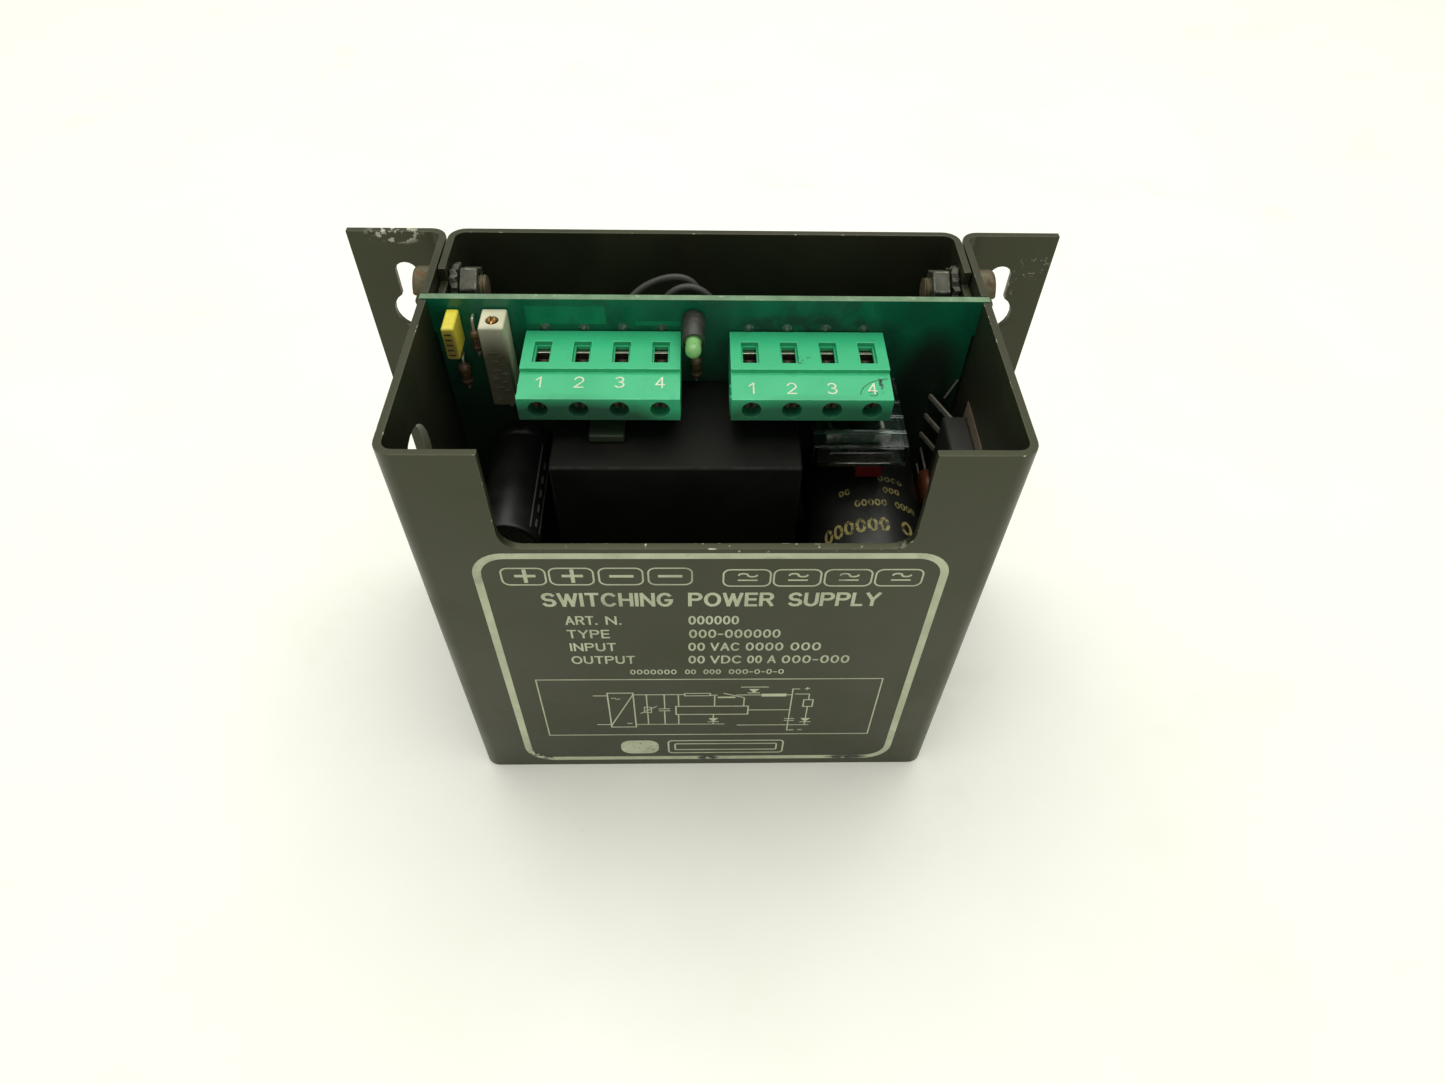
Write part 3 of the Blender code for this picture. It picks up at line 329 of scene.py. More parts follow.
FINISHES = {
    # Stove enamel on folded steel: black with a faint olive cast, soft gloss with an
    # orange-peel skin, lighter on all roundings as a painted highlight, chipped there to grey
    # metal, and dusty.
    "painted_steel": recipe(
        "stove_enamelled_steel", "psu_case.paint", "#292b1f", (0.32, 0.44), 17.0, 0.5, 0.01,
        wear(26.0, 0.5, 0.72, "#2c2e20", 0.52),
        # painted highlight: lighter on every rounding
        wear(5.0, 0.3, 0.62, "#3d3d31", 0.38, edge=True),
        wear(2.4, 0.62, 0.66, "#a9ab9a", 0.42, metal=1.0, edge=True),
        wear(0.6, 0.8, 0.81, "#8a8a7c", 0.9, raised=0.4),
        wear(1.7, 0.52, 0.56, "#b3b3a4", 0.45,
             near=((-64.6, 65.5, 108.4), (6.5, 3.0, 2.6)), raised=-0.5),
        wear(0.9, 0.6, 0.62, "#7f8072", 0.6,
             near=((71.0, 65.5, 101.6), (4.4, 3.0, 3.6)), raised=-0.4),
        wear(0.8, 0.58, 0.6, "#8c8d7e", 0.6,
             near=((66.9, 65.5, 96.2), (1.6, 3.0, 5.0)), raised=-0.4),
        wear(1.5, 0.5, 0.54, "#8d8e80", 0.5, near=((35.4, 0.0, 90.0), (1.4, 3.0, 6.0))),
        wear(1.3, 0.67, 0.69, "#b9baa8", 0.4,
             near=((0.0, 0.0, 85.0), (36.0, 2.2, 0.9)), raised=-0.4),
        fixed={"Specular Tint": linear("#fbffd2")},
    ),
    # Pale grey-green screen print, matt and rubbed thin in places.
    "screen_ink": recipe(
        "screen_print_ink", "psu_case.ink", "#b0b69a", (0.5, 0.66), 6.0, 0.3, 0.004,
        wear(1.2, 0.74, 0.77, "#33342a", 0.45),
        wear(9.0, 0.6, 0.75, "#8e937b", 0.55),
        wear(1.6, 0.42, 0.46, "#24241b", 0.42, near=((0.6, 0.0, 3.4), (3.2, 2.0, 1.3))),
        wear(1.6, 0.4, 0.44, "#24241b", 0.42, near=((35.4, 0.0, 3.4), (6.0, 2.0, 1.2))),
        wear(1.2, 0.46, 0.5, "#24241b", 0.42, near=((-40.0, 0.0, 6.0), (4.0, 2.0, 4.0))),
        wear(1.0, 0.6, 0.64, "#24241b", 0.42, near=((-15.0, 0.0, 9.0), (5.0, 2.0, 3.5))),
    ),
    # Green mask lacquer over glass cloth: glossy, with the weave just showing, and
    # painted shade over the board below the terminal blocks.
    "solder_mask": recipe(
        "solder_mask_laminate", "psu_parts.mask", "#085a40", (0.22, 0.36), 9.0, 0.6, 0.008,
        wear(7.0, 0.56, 0.74, "#0a4634", 0.4),
        # painted shade: darker over the board below the terminal blocks
        wear(30.0, 0.0, 0.2, "#182a1f", 0.5, near=((0.0, 42.4, 60.0), (150.0, 12.0, 44.0))),
        # darker down the right side of the board, and in patches above the input block's pins
        wear(30.0, 0.0, 0.2, "#14251b", 0.45, near=((46.0, 42.4, 84.0), (7.5, 4.0, 21.0))),
        wear(2.6, 0.3, 0.55, "#123a2a", 0.45, near=((20.0, 42.4, 102.8), (20.0, 4.0, 3.6))),
        wear(0.9, 0.74, 0.78, "#5a6b52", 0.8),
    ),
    # The same lacquer over a copper track: lighter and a little warmer.
    "mask_over_copper": recipe(
        "solder_mask_over_copper", "#12805a", "#0e7450", (0.2, 0.32), 6.0, 0.5, 0.006,
        wear(4.0, 0.6, 0.8, "#0c5f44", 0.4),
    ),
    # Lacquer and flux over the terminal pins, dull grey-green.
    "mask_over_pins": recipe(
        "flux_covered_pins", "#3a5a45", "#243d2e", (0.35, 0.5), 0.7, 0.2, 0.02,
        wear(0.5, 0.55, 0.7, "#7f8f78", 0.4),
    ),
    # Sawn edge of the glass-fibre board: pale grey-green and dry.
    "glass_epoxy": recipe(
        "glass_epoxy_edge", "#6f8f6d", "#5c7a5e", (0.55, 0.75), 4.0, 0.25, 0.02,
        wear(1.2, 0.6, 0.7, "#8f9f86", 0.7),
    ),
    # Moulded polyamide: bright green, satin, slightly waxy, with black grime, a painted
    # highlight on its roundings and painted shade, with some dirt, over the lower front faces.
    "terminal_moulding": recipe(
        "moulded_polyamide", "psu_parts.moulding", "#2fae77", (0.34, 0.46), 8.0, 0.22, 0.006,
        wear(5.0, 0.6, 0.85, "#1f7a54", 0.6, most=0.6),
        wear(0.7, 0.72, 0.76, "#1b4d38", 0.8),
        # painted highlight: lighter on every rounding
        wear(1.6, 0.35, 0.7, "#5fd6a3", 0.35, edge=True, most=0.7),
        wear(1.3, 0.5, 0.56, "#173c2d", 0.7, near=((33.0, 27.6, 100.9), (0.5, 3.2, 1.0))),
        wear(0.8, 0.6, 0.66, "#1d4233", 0.7, near=((17.5, 33.5, 101.9), (3.2, 1.6, 1.0))),
        wear(0.8, 0.62, 0.68, "#1d4233", 0.7, near=((-9.0, 27.5, 100.9), (4.5, 3.2, 1.0))),
        # painted shade with some dirt: darker over the blocks' lower front faces
        wear(9.0, 0.0, 0.3, "#123a29", 0.6,
             near=((-26.0, 23.4, 94.6), (24.0, 4.2, 6.6)), most=0.9),
        wear(9.0, 0.0, 0.3, "#174a34", 0.55,
             near=((20.0, 23.4, 94.6), (30.0, 4.2, 6.6)), most=0.8),
        fixed={"Subsurface Weight": 0.12, "Subsurface Scale": 1.5 * MM},
    ),
    # Black oily dirt pressed into scratches.
    "grime": recipe(
        "oily_grime", "#1c3a2c", "#152b21", (0.5, 0.65), 1.0, 0.2, 0.004,
    ),
    # White pad-printed digits.
    "white_ink": recipe(
        "pad_print_white", "#d7ddc6", "#c3cbb2", (0.5, 0.6), 2.0, 0.2, 0.003,
        wear(0.8, 0.62, 0.7, "#6fae8c", 0.5),
    ),
    # Zinc-plated screw steel, dulled, with dark dirt in its recesses.
    "zinc_steel": recipe(
        "zinc_plated_steel", "#b7b4a6", "#98958a", (0.3, 0.48), 1.6, 0.15, 0.01,
        wear(1.0, 0.55, 0.75, "#57503f", 0.7),
        metallic=1.0,
    ),
    # Nickel-plated clamp, brighter than the screws.
    "clamp_steel": recipe(
        "nickel_plated_clamp", "#c9c6b8", "#a9a698", (0.25, 0.4), 2.0, 0.2, 0.008,
        wear(1.4, 0.58, 0.8, "#6d6656", 0.6),
        metallic=1.0,
    ),
    # Clamp steel in the shade of its opening: a brown, darker copy that paints that shade.
    "shaded_clamp_steel": recipe(
        "clamp_steel_painted_shade", "#4a4233", "#332d22", (0.5, 0.7), 1.2, 0.2, 0.01,
        wear(0.7, 0.55, 0.7, "#241d14", 0.8, metal=0.1),
        metallic=0.6,
    ),
    # Terminal screws, dark grey-brown, darkened as painted shade for their recesses.
    "shaded_terminal_screw_steel": recipe(
        "terminal_screw_painted_shade", "#5b574a", "#454136", (0.4, 0.6), 1.0, 0.12, 0.01,
        wear(0.7, 0.55, 0.7, "#2c261c", 0.75, metal=0.2),
        metallic=0.8,
    ),
    # Old cap screw: brown-grey oxide skin with rust bloom.
    "browned_steel": recipe(
        "browned_screw_steel", "#6d6851", "#564f3d", (0.5, 0.68), 2.6, 0.22, 0.03,
        wear(1.5, 0.52, 0.66, "#6b4a2f", 0.85, metal=0.1, raised=0.6),
        wear(3.0, 0.55, 0.75, "#3b3629", 0.7),
        metallic=0.55,
    ),
    # Dull grey phosphated nut, lighter on its roundings as a painted highlight.
    "nut_steel": recipe(
        "dull_plated_nut", "#47483d", "#3a3b32", (0.45, 0.6), 3.0, 0.25, 0.015,
        wear(1.6, 0.6, 0.72, "#4b4334", 0.8, metal=0.2),
        # painted highlight: lighter on every rounding
        wear(1.0, 0.4, 0.7, "#7e7f71", 0.4, edge=True),
        metallic=0.45,
    ),
    # Filled plastic case, grey-beige, its front face darkened as painted shade and marked with old
    # flux and dust.
    "trimmer_case": recipe(
        "trimmer_thermoset", "#cdcdb3", "#bcbba0", (0.4, 0.55), 5.0, 0.3, 0.02,
        # painted shade: darker over the front face
        wear(3.4, 0.1, 0.3, "#444230", 0.75,
             near=((-40.9, 33.5, 94.0), (9.0, 5.0, 18.0)), raised=0.3),
        wear(1.4, 0.55, 0.7, "#57564a", 0.8,
             near=((-40.9, 35.0, 94.0), (6.0, 3.0, 11.0)), raised=0.5),
    ),
    # Turned brass adjusting screw.
    "brass": recipe(
        "turned_brass", "#b98f5a", "#94703f", (0.28, 0.42), 0.9, 0.12, 0.01,
        wear(0.6, 0.55, 0.7, "#5d4628", 0.6),
        metallic=1.0,
    ),
    # Smooth black case plastic, lighter on its roundings as a painted highlight.
    "black_moulding": recipe(
        "black_case_plastic", "#10110e", "#151612", (0.5, 0.64), 10.0, 0.4, 0.01,
        wear(0.9, 0.77, 0.79, "#5f6055", 0.9),
        # painted highlight: lighter on every rounding
        wear(3.0, 0.4, 0.7, "#23241f", 0.4, edge=True),
        fixed={"Specular IOR Level": 0.16},
    ),
    # Black tube of soft plastic, worn grey in patches that also stand in for its sheen as a painted
    # highlight.
    "spacer_plastic": recipe(
        "black_spacer_tube", "#20211c", "#2a2b25", (0.34, 0.5), 3.0, 0.25, 0.012,
        wear(1.2, 0.6, 0.75, "#4a4b40", 0.6),
    ),
    # Heat-shrunk sleeve: thin, black and glossy.
    "sleeve": recipe(
        "shrunk_sleeve", "#121312", "#191a18", (0.32, 0.45), 7.0, 0.9, 0.015,
        wear(0.7, 0.77, 0.79, "#55564c", 0.9),
        fixed={"Specular IOR Level": 0.35},
    ),
    # Bare drawn aluminium can end.
    "can_aluminium": recipe(
        "drawn_aluminium", "#c4c4be", "#aeaea8", (0.25, 0.4), 3.0, 0.2, 0.01,
        metallic=1.0,
    ),
    # Glossy yellow moulded capacitor case with a little dust, its front face darkened as painted
    # shade.
    "yellow_case": recipe(
        "yellow_capacitor_case", "#ddd049", "#cfc03a", (0.28, 0.42), 2.5, 0.25, 0.008,
        wear(1.2, 0.62, 0.78, "#8f8431", 0.6),
        # painted shade: darker over the front face
        wear(2.2, 0.0, 0.25, "#5e5223", 0.6,
             near=((-49.0, 34.4, 102.4), (4.2, 2.1, 8.0)), most=0.85),
    ),
    # Dark red flame-proof case.
    "red_case": recipe(
        "red_capacitor_case", "#6e1414", "#571010", (0.3, 0.42), 3.0, 0.3, 0.01,
        wear(1.2, 0.66, 0.8, "#3a1512", 0.6),
    ),
    # Dipped coating of a ceramic disc.
    "orange_coating": recipe(
        "dipped_orange_coating", "#734024", "#62351d", (0.3, 0.45), 2.0, 0.3, 0.03,
        wear(1.0, 0.6, 0.75, "#4d2a17", 0.6),
    ),
    # Lacquered resistor body.
    "resistor_tan": recipe(
        "resistor_lacquer", "#5e4a36", "#4c3b2c", (0.3, 0.42), 1.4, 0.2, 0.01,
        wear(0.7, 0.6, 0.75, "#4a3626", 0.6),
    ),
    # Dark printed colour band.
    "band_dark": recipe(
        "resistor_band_dark", "#2a1a13", "#20130e", (0.35, 0.45), 1.0, 0.2, 0.005,
    ),
    # Gold tolerance band.
    "band_gold": recipe(
        "resistor_band_gold", "#9b7b3a", "#84682f", (0.3, 0.4), 0.8, 0.2, 0.005,
        metallic=0.6,
    ),
    # Tinned copper leads.
    "tinned_wire": recipe(
        "tinned_copper", "#c5c2b2", "#a29f92", (0.25, 0.42), 1.0, 0.15, 0.01,
        wear(0.8, 0.58, 0.75, "#6b6252", 0.6),
        metallic=0.6,
    ),
    # Solder fillets, bright with a frosted skin.
    "solder": recipe(
        "soft_solder", "#a9a99f", "#8d8d84", (0.24, 0.42), 0.8, 0.15, 0.015,
        metallic=1.0,
    ),
    # Black-grey moulding compound of a power transistor.
    "epoxy": recipe(
        "moulding_compound", "#2c2c28", "#232320", (0.46, 0.62), 3.0, 0.18, 0.012,
        wear(1.0, 0.68, 0.78, "#5a594f", 0.8),
    ),
    # Grey-brown silicone pad, matt with a fine cloth.
    "insulating_pad": recipe(
        "silicone_insulating_pad", "#6b5e4f", "#5a4f43", (0.6, 0.75), 2.5, 0.2, 0.01,
        wear(1.1, 0.6, 0.75, "#4d443a", 0.8),
    ),
    # Dull olive insulating block.
    "olive_board": recipe(
        "olive_insulator", "#1f2d18", "#1a2614", (0.5, 0.66), 4.0, 0.3, 0.02,
        wear(1.6, 0.6, 0.8, "#202b1a", 0.7),
    ),
    # Soft black wire insulation, with a satin skin.
    "cable_pvc": recipe(
        "wire_insulation", "#262725", "#31322e", (0.4, 0.55), 4.0, 0.3, 0.012,
        wear(0.9, 0.72, 0.78, "#55564d", 0.8),
    ),
    # Pale gold marks on the black sleeve.
    "gold_print": recipe(
        "gold_sleeve_print", "#8f8752", "#786f42", (0.4, 0.5), 2.0, 0.2, 0.003,
        wear(1.0, 0.52, 0.62, "#2b2a1c", 0.4),
    ),
    # Grey stripe that marks a capacitor's negative side.
    "grey_print": recipe(
        "grey_sleeve_print", "#5f6364", "#505455", (0.35, 0.46), 2.0, 0.2, 0.003,
        wear(0.9, 0.62, 0.72, "#2c2e2e", 0.4),
    ),
    # Clear polycarbonate, faintly blue-grey, with smears of dust.
    "clear_moulding": recipe(
        "clear_polycarbonate", "#dfe6e5", "#d0d8d8", (0.08, 0.2), 5.0, 0.6, 0.01,
        wear(3.0, 0.62, 0.9, "#c4cac8", 0.3),
        fixed={"Transmission Weight": 1.0, "IOR": 1.58},
    ),
    # Glass tube of the fuse.
    "fuse_glass": recipe(
        "fuse_glass_tube", "#d9ded8", "#cdd4cd", (0.04, 0.1), 3.0, 0.5, 0.004,
        fixed={"Transmission Weight": 0.85, "IOR": 1.5},
    ),
    # Diffused green epoxy lens.
    "lamp_lens": recipe(
        "green_lamp_epoxy", "#86c876", "#97d586", (0.14, 0.24), 2.0, 0.4, 0.008,
        wear(1.0, 0.6, 0.8, "#b5e3a2", 0.3),
        fixed={"Transmission Weight": 0.35, "IOR": 1.52, "Subsurface Weight": 0.3,
               "Subsurface Scale": 1.0 * MM},
    ),
    # Matt white table top with the faintest marks.
    "floor_paper": recipe(
        "white_table_top", "psu_stage.floor", "#f5f6ef", (0.6, 0.75), 90.0, 3.0, 0.02,
        wear(45.0, 0.6, 0.85, "#f0f0e5", 0.7),
        wear(9.0, 0.7, 0.8, "#efefe2", 0.7),
    ),
}


def finish(key):
    """The material of a finish, made once."""
    held = f"psu_{key}"
    if bpy.context.scene.get(held) is None:
        bpy.context.scene[held] = surface(*FINISHES[key])
    return bpy.context.scene[held]


# ---------------------------------------------------------------- modelling


def piece(name, bm, recipes, body="case", stands_for=(), sharp=38):
    """Make an object of a mesh and set it on its body."""
    mesh = bpy.data.meshes.new(name)
    bm.to_mesh(mesh)
    bm.free()
    if "custom_normal" in mesh.attributes:
        mesh.attributes.remove(mesh.attributes["custom_normal"])
    for recipe in recipes:
        mesh.materials.append(finish(recipe))
    mesh.shade_smooth()
    mesh.set_sharp_from_angle(angle=math.radians(sharp))
    obj = bpy.data.objects.new(name, mesh)
    bpy.context.scene.collection.objects.link(obj)
    if stands_for:
        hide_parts(*stands_for)
    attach(obj, body)
    return obj


def merged_copy(node):
    """A frame node's mesh as one clean shell with whole flat faces."""
    bm = bmesh.new()
    bm.from_mesh(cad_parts[node].data)
    bmesh.ops.remove_doubles(bm, verts=bm.verts, dist=0.002 * MM)
    bmesh.ops.dissolve_limit(
        bm, angle_limit=math.radians(0.6), verts=bm.verts, edges=bm.edges,
    )
    return bm


def round_edges(bm, radius, segments=2, hard=35.0):
    """Round the sharp edges and mark the roundings in the "edge" attribute."""
    layer = bm.faces.layers.float.new("edge")
    edges = [
        edge for edge in bm.edges
        if len(edge.link_faces) == 2 and edge.calc_face_angle(0.0) > math.radians(hard)
    ]
    made = bmesh.ops.bevel(
        bm, geom=edges, offset=radius, offset_type="OFFSET", segments=segments,
        profile=0.5, affect="EDGES", clamp_overlap=False, material=-1,
    )
    for face in made["faces"]:
        face[layer] = 1.0


def refined(node, recipes, radius, body="case", segments=2, hard=35.0, pick=None):
    """A frame node again, with rounded edges and even shading, in its place."""
    bm = merged_copy(node)
    round_edges(bm, radius * MM, segments, hard)
    if pick:
        for face in bm.faces:
            face.material_index = pick(face)
    obj = piece(f"{node}_finished", bm, recipes, body, (node,))
    modifier = obj.modifiers.new("face_normals", "WEIGHTED_NORMAL")
    modifier.keep_sharp = True
    return obj


def pour(source, target, matrix=Matrix.Identity(4)):
    """Add one mesh to another, moved by a matrix."""
    source.transform(matrix)
    mesh = bpy.data.meshes.new("pour")
    source.to_mesh(mesh)
    source.free()
    target.from_mesh(mesh)
    bpy.data.meshes.remove(mesh)


def stroke(bm, start, end, width, level=0.0):
    """A straight flat line between two points of a drawing, lifted by a level."""
    start, end = Vector(start), Vector(end)
    run = end - start
    middle = (start + end) / 2
    matrix = (
        Matrix.Translation((middle.x, middle.y, level))
        @ Matrix.Rotation(math.atan2(run.y, run.x), 4, "Z")
        @ Matrix.Diagonal((run.length, width, 1, 1))
    )
    bmesh.ops.create_grid(bm, x_segments=1, y_segments=1, size=0.5, matrix=matrix)


def panel_shape(low, high, corner):
    """A flat rounded rectangle as a mesh of one face."""
    bm = bmesh.new()
    centre = [(a + b) / 2 for a, b in zip(low, high)]
    size = [b - a for a, b in zip(low, high)]
    bmesh.ops.create_grid(
        bm, x_segments=1, y_segments=1, size=0.5,
        matrix=Matrix.Translation((*centre, 0)) @ Matrix.Diagonal((*size, 1, 1)),
    )
    if corner:
        bmesh.ops.bevel(
            bm, geom=bm.verts[:], offset=corner, offset_type="OFFSET", segments=8,
            profile=0.5, affect="VERTICES", clamp_overlap=True, material=-1,
        )
    return bm


def outline(target, low, high, corner, width):
    """A rounded frame line between two corners of a drawing."""
    bm = panel_shape(low, high, corner)
    bm.faces.ensure_lookup_table()
    inner = bm.faces[0]
    bmesh.ops.inset_region(
        bm, faces=[inner], thickness=width, use_boundary=True, use_even_offset=True,
    )
    bmesh.ops.delete(bm, geom=[inner], context="FACES")
    pour(bm, target)


def bow(x, y, across, up, start, end, steps=8):
    """Points on an elliptical arc of a letter, angles in degrees."""
    angles = [math.radians(start + (end - start) * i / steps) for i in range(steps + 1)]
    return [(x + across * math.cos(a), y + up * math.sin(a)) for a in angles]


BOWL = [(0, 1), (0.4, 1)] + bow(0.4, 0.75, 0.3, 0.25, 90, -90) + [(0.4, 0.5), (0, 0.5)]

# Plain capitals and digits of unit height: each one's width and its strokes.
GLYPHS = {
    "A": (0.8, [[(0, 0), (0.4, 1), (0.8, 0)], [(0.15, 0.33), (0.65, 0.33)]]),
    "C": (0.8, [bow(0.42, 0.5, 0.42, 0.5, 45, 315, 12)]),
    "D": (0.72, [[(0, 0), (0, 1), (0.3, 1)] + bow(0.3, 0.5, 0.42, 0.5, 90, -90)
                 + [(0.3, 0), (0, 0)]]),
    "E": (0.62, [[(0.62, 1), (0, 1), (0, 0), (0.62, 0)], [(0, 0.52), (0.56, 0.52)]]),
    "G": (0.84, [bow(0.42, 0.5, 0.42, 0.5, 45, 335, 12) + [(0.84, 0.46), (0.5, 0.46)]]),
    "H": (0.72, [[(0, 0), (0, 1)], [(0.72, 0), (0.72, 1)], [(0, 0.5), (0.72, 0.5)]]),
    "I": (0.0, [[(0, 0), (0, 1)]]),
    "L": (0.56, [[(0, 1), (0, 0), (0.56, 0)]]),
    "N": (0.74, [[(0, 0), (0, 1), (0.74, 0), (0.74, 1)]]),
    "O": (0.88, [bow(0.44, 0.5, 0.44, 0.5, 0, 360, 18)]),
    "P": (0.7, [[(0, 0), (0, 1)], BOWL]),
    "R": (0.72, [[(0, 0), (0, 1)], BOWL, [(0.4, 0.5), (0.72, 0)]]),
    "S": (0.7, [bow(0.35, 0.74, 0.33, 0.26, 30, 270) + bow(0.35, 0.25, 0.35, 0.25, 90, -155)]),
    "T": (0.7, [[(0, 1), (0.7, 1)], [(0.35, 0), (0.35, 1)]]),
    "U": (0.72, [[(0, 1), (0, 0.34)] + bow(0.36, 0.34, 0.36, 0.34, 180, 360)
                 + [(0.72, 0.34), (0.72, 1)]]),
    "V": (0.76, [[(0, 1), (0.38, 0), (0.76, 1)]]),
    "W": (1.1, [[(0, 1), (0.27, 0), (0.55, 0.95), (0.83, 0), (1.1, 1)]]),
    "Y": (0.76, [[(0, 1), (0.38, 0.45), (0.76, 1)], [(0.38, 0.45), (0.38, 0)]]),
    "0": (0.6, [bow(0.3, 0.5, 0.3, 0.5, 0, 360, 12)]),
    "1": (0.28, [[(0, 0.72), (0.28, 1), (0.28, 0)]]),
    "2": (0.58, [bow(0.29, 0.7, 0.29, 0.3, 165, -30) + [(0, 0), (0.58, 0)]]),
    "3": (0.58, [bow(0.28, 0.75, 0.26, 0.25, 155, -90), bow(0.28, 0.26, 0.3, 0.26, 90, -155)]),
    "4": (0.62, [[(0.46, 0), (0.46, 1), (0, 0.28), (0.62, 0.28)]]),
    "-": (0.36, [[(0, 0.42), (0.36, 0.42)]]),
    ".": (0.0, [[(0, 0), (0, 0.04)]]),
    "~": (0.7, [bow(0.175, 0.4, 0.175, 0.2, 180, 0, 6) + bow(0.525, 0.4, 0.175, 0.2, 180, 360, 6)]),
    " ": (0.3, []),
}
GLYPH_GAP = 0.34
# Heights in millimetres that keep crossing strokes from lying in one plane.
STROKE_LEVELS = (0.0, 0.004, 0.008, 0.012, 0.016)


def letters(target, words, low, high, weight):
    """Plain capitals of one line weight that fill the box between two corners."""
    tall = high[1] - low[1] - weight
    run = sum(GLYPHS[letter][0] + GLYPH_GAP for letter in words) - GLYPH_GAP
    wide = (high[0] - low[0] - weight) / run if run else tall
    start = low[0] + weight / 2
    for letter in words:
        width, lines = GLYPHS[letter]
        level = 0
        for line in lines:
            spots = [Vector((start + x * wide, low[1] + weight / 2 + y * tall))
                     for x, y in line]
            for one, two in zip(spots, spots[1:]):
                reach = (two - one).normalized() * weight * 0.42
                level = (level + 1) % len(STROKE_LEVELS)
                stroke(target, one - reach, two + reach, weight, STROKE_LEVELS[level])
        start += (width + GLYPH_GAP) * wide


def thicken(bm, height):
    """Give flat shapes a height, so that each is closed."""
    grown = bmesh.ops.extrude_face_region(bm, geom=bm.faces[:])
    risen = [item for item in grown["geom"] if isinstance(item, bmesh.types.BMVert)]
    bmesh.ops.translate(bm, verts=risen, vec=(0, 0, height))
    bmesh.ops.recalc_face_normals(bm, faces=bm.faces[:])


def front_sheet():
    """Places a drawing in millimetres on the front panel, facing forwards."""
    return (
        Matrix.Translation((0, FRONT_Y - 0.005 * MM, 0))
        @ UPRIGHT @ TO_METRES
    )


def bar(bm, low, high, bevel=0.0):
    """A box between two corners (x, depth, height) in millimetres."""
    low, high = at(*low), at(*high)
    size = high - low
    made = bmesh.ops.create_cube(
        bm, size=1.0,
        matrix=Matrix.Translation((low + high) / 2) @ Matrix.Diagonal((*size, 1)),
    )
    if bevel:
        edges = list({edge for vert in made["verts"] for edge in vert.link_edges})
        bmesh.ops.bevel(
            bm, geom=edges, offset=bevel * MM, offset_type="OFFSET", segments=2,
            profile=0.5, affect="EDGES", clamp_overlap=True, material=-1,
        )


def aligned(origin, direction):
    """Matrix that takes +Z to a direction and the origin to a point."""
    turn = Vector((0, 0, 1)).rotation_difference(Vector(direction)).to_matrix().to_4x4()
    return Matrix.Translation(origin) @ turn


def turned(profile, steps, origin, direction, bands=()):
    """A turned solid: profile of (radius, length) in mm, spun about a direction.

    bands are (from, to, material index) along the length.
    """
    bm = bmesh.new()
    verts = [bm.verts.new((radius * MM, 0, length * MM)) for radius, length in profile]
    edges = [bm.edges.new(pair) for pair in zip(verts, verts[1:])]
    bmesh.ops.spin(
        bm, geom=verts + edges, cent=(0, 0, 0), axis=(0, 0, 1), angle=math.tau,
        steps=steps, use_merge=True,
    )
    bmesh.ops.remove_doubles(bm, verts=bm.verts, dist=0.001 * MM)
    bmesh.ops.recalc_face_normals(bm, faces=bm.faces)
    for face in bm.faces:
        height = face.calc_center_median().z / MM
        for low, high, index in bands:
            if low <= height <= high:
                face.material_index = index
    bm.transform(aligned(origin, direction))
    return bm


def rod(bm, points, radius):
    """A round wire through points, as a closed mesh."""
    curve = bpy.data.curves.new("rod", "CURVE")
    curve.dimensions = "3D"
    curve.bevel_depth = radius * MM
    curve.bevel_resolution = 2
    curve.use_fill_caps = True
    spline = curve.splines.new("POLY")
    spline.points.add(len(points) - 1)
    for spot, point in zip(spline.points, points):
        spot.co = (*point, 1.0)
    obj = bpy.data.objects.new("rod", curve)
    bpy.context.scene.collection.objects.link(obj)
    depsgraph = bpy.context.evaluated_depsgraph_get()
    mesh = bpy.data.meshes.new_from_object(obj.evaluated_get(depsgraph))
    bm.from_mesh(mesh)
    bpy.data.objects.remove(obj)
    bpy.data.curves.remove(curve)
    bpy.data.meshes.remove(mesh)


def bent(points, radius=0.8, steps=4):
    """Points of a wire with its corners rounded, in millimetres of radius."""
    route = [points[0]]
    for before, corner, after in zip(points, points[1:], points[2:]):
        into = (corner - before).normalized()
        out = (after - corner).normalized()
        start, end = corner - into * radius * MM, corner + out * radius * MM
        for step in range(steps + 1):
            t = step / steps
            route.append(
                start * (1 - t) ** 2 + corner * 2 * t * (1 - t) + end * t ** 2
            )
    return route + [points[-1]]


def tinned(name, routes):
    """A piece of tinned leads: each route is its points and its radius in mm."""
    bm = bmesh.new()
    for points, radius in routes:
        rod(bm, points, radius)
    piece(name, bm, ["tinned_wire"])


def boxes(name, corners, coat, bevel=0.0):
    """A piece made of boxes of one finish, each given by two corners."""
    bm = bmesh.new()
    for low, high in corners:
        bar(bm, low, high, bevel)
    piece(name, bm, [coat])


# ---------------------------------------------------------------- operators


class PSU_OT_case(bpy.types.Operator):
    """Finish the outer shell and the rear tray."""

    bl_idname = "psu.case"
    bl_label = "Case"

    def execute(self, context):
        radius = context.scene.psu_case.edge_radius / MM
        for node in ("outer_shell", "rear_tray"):
            refined(node, ["painted_steel"], radius)
        return {"FINISHED"}


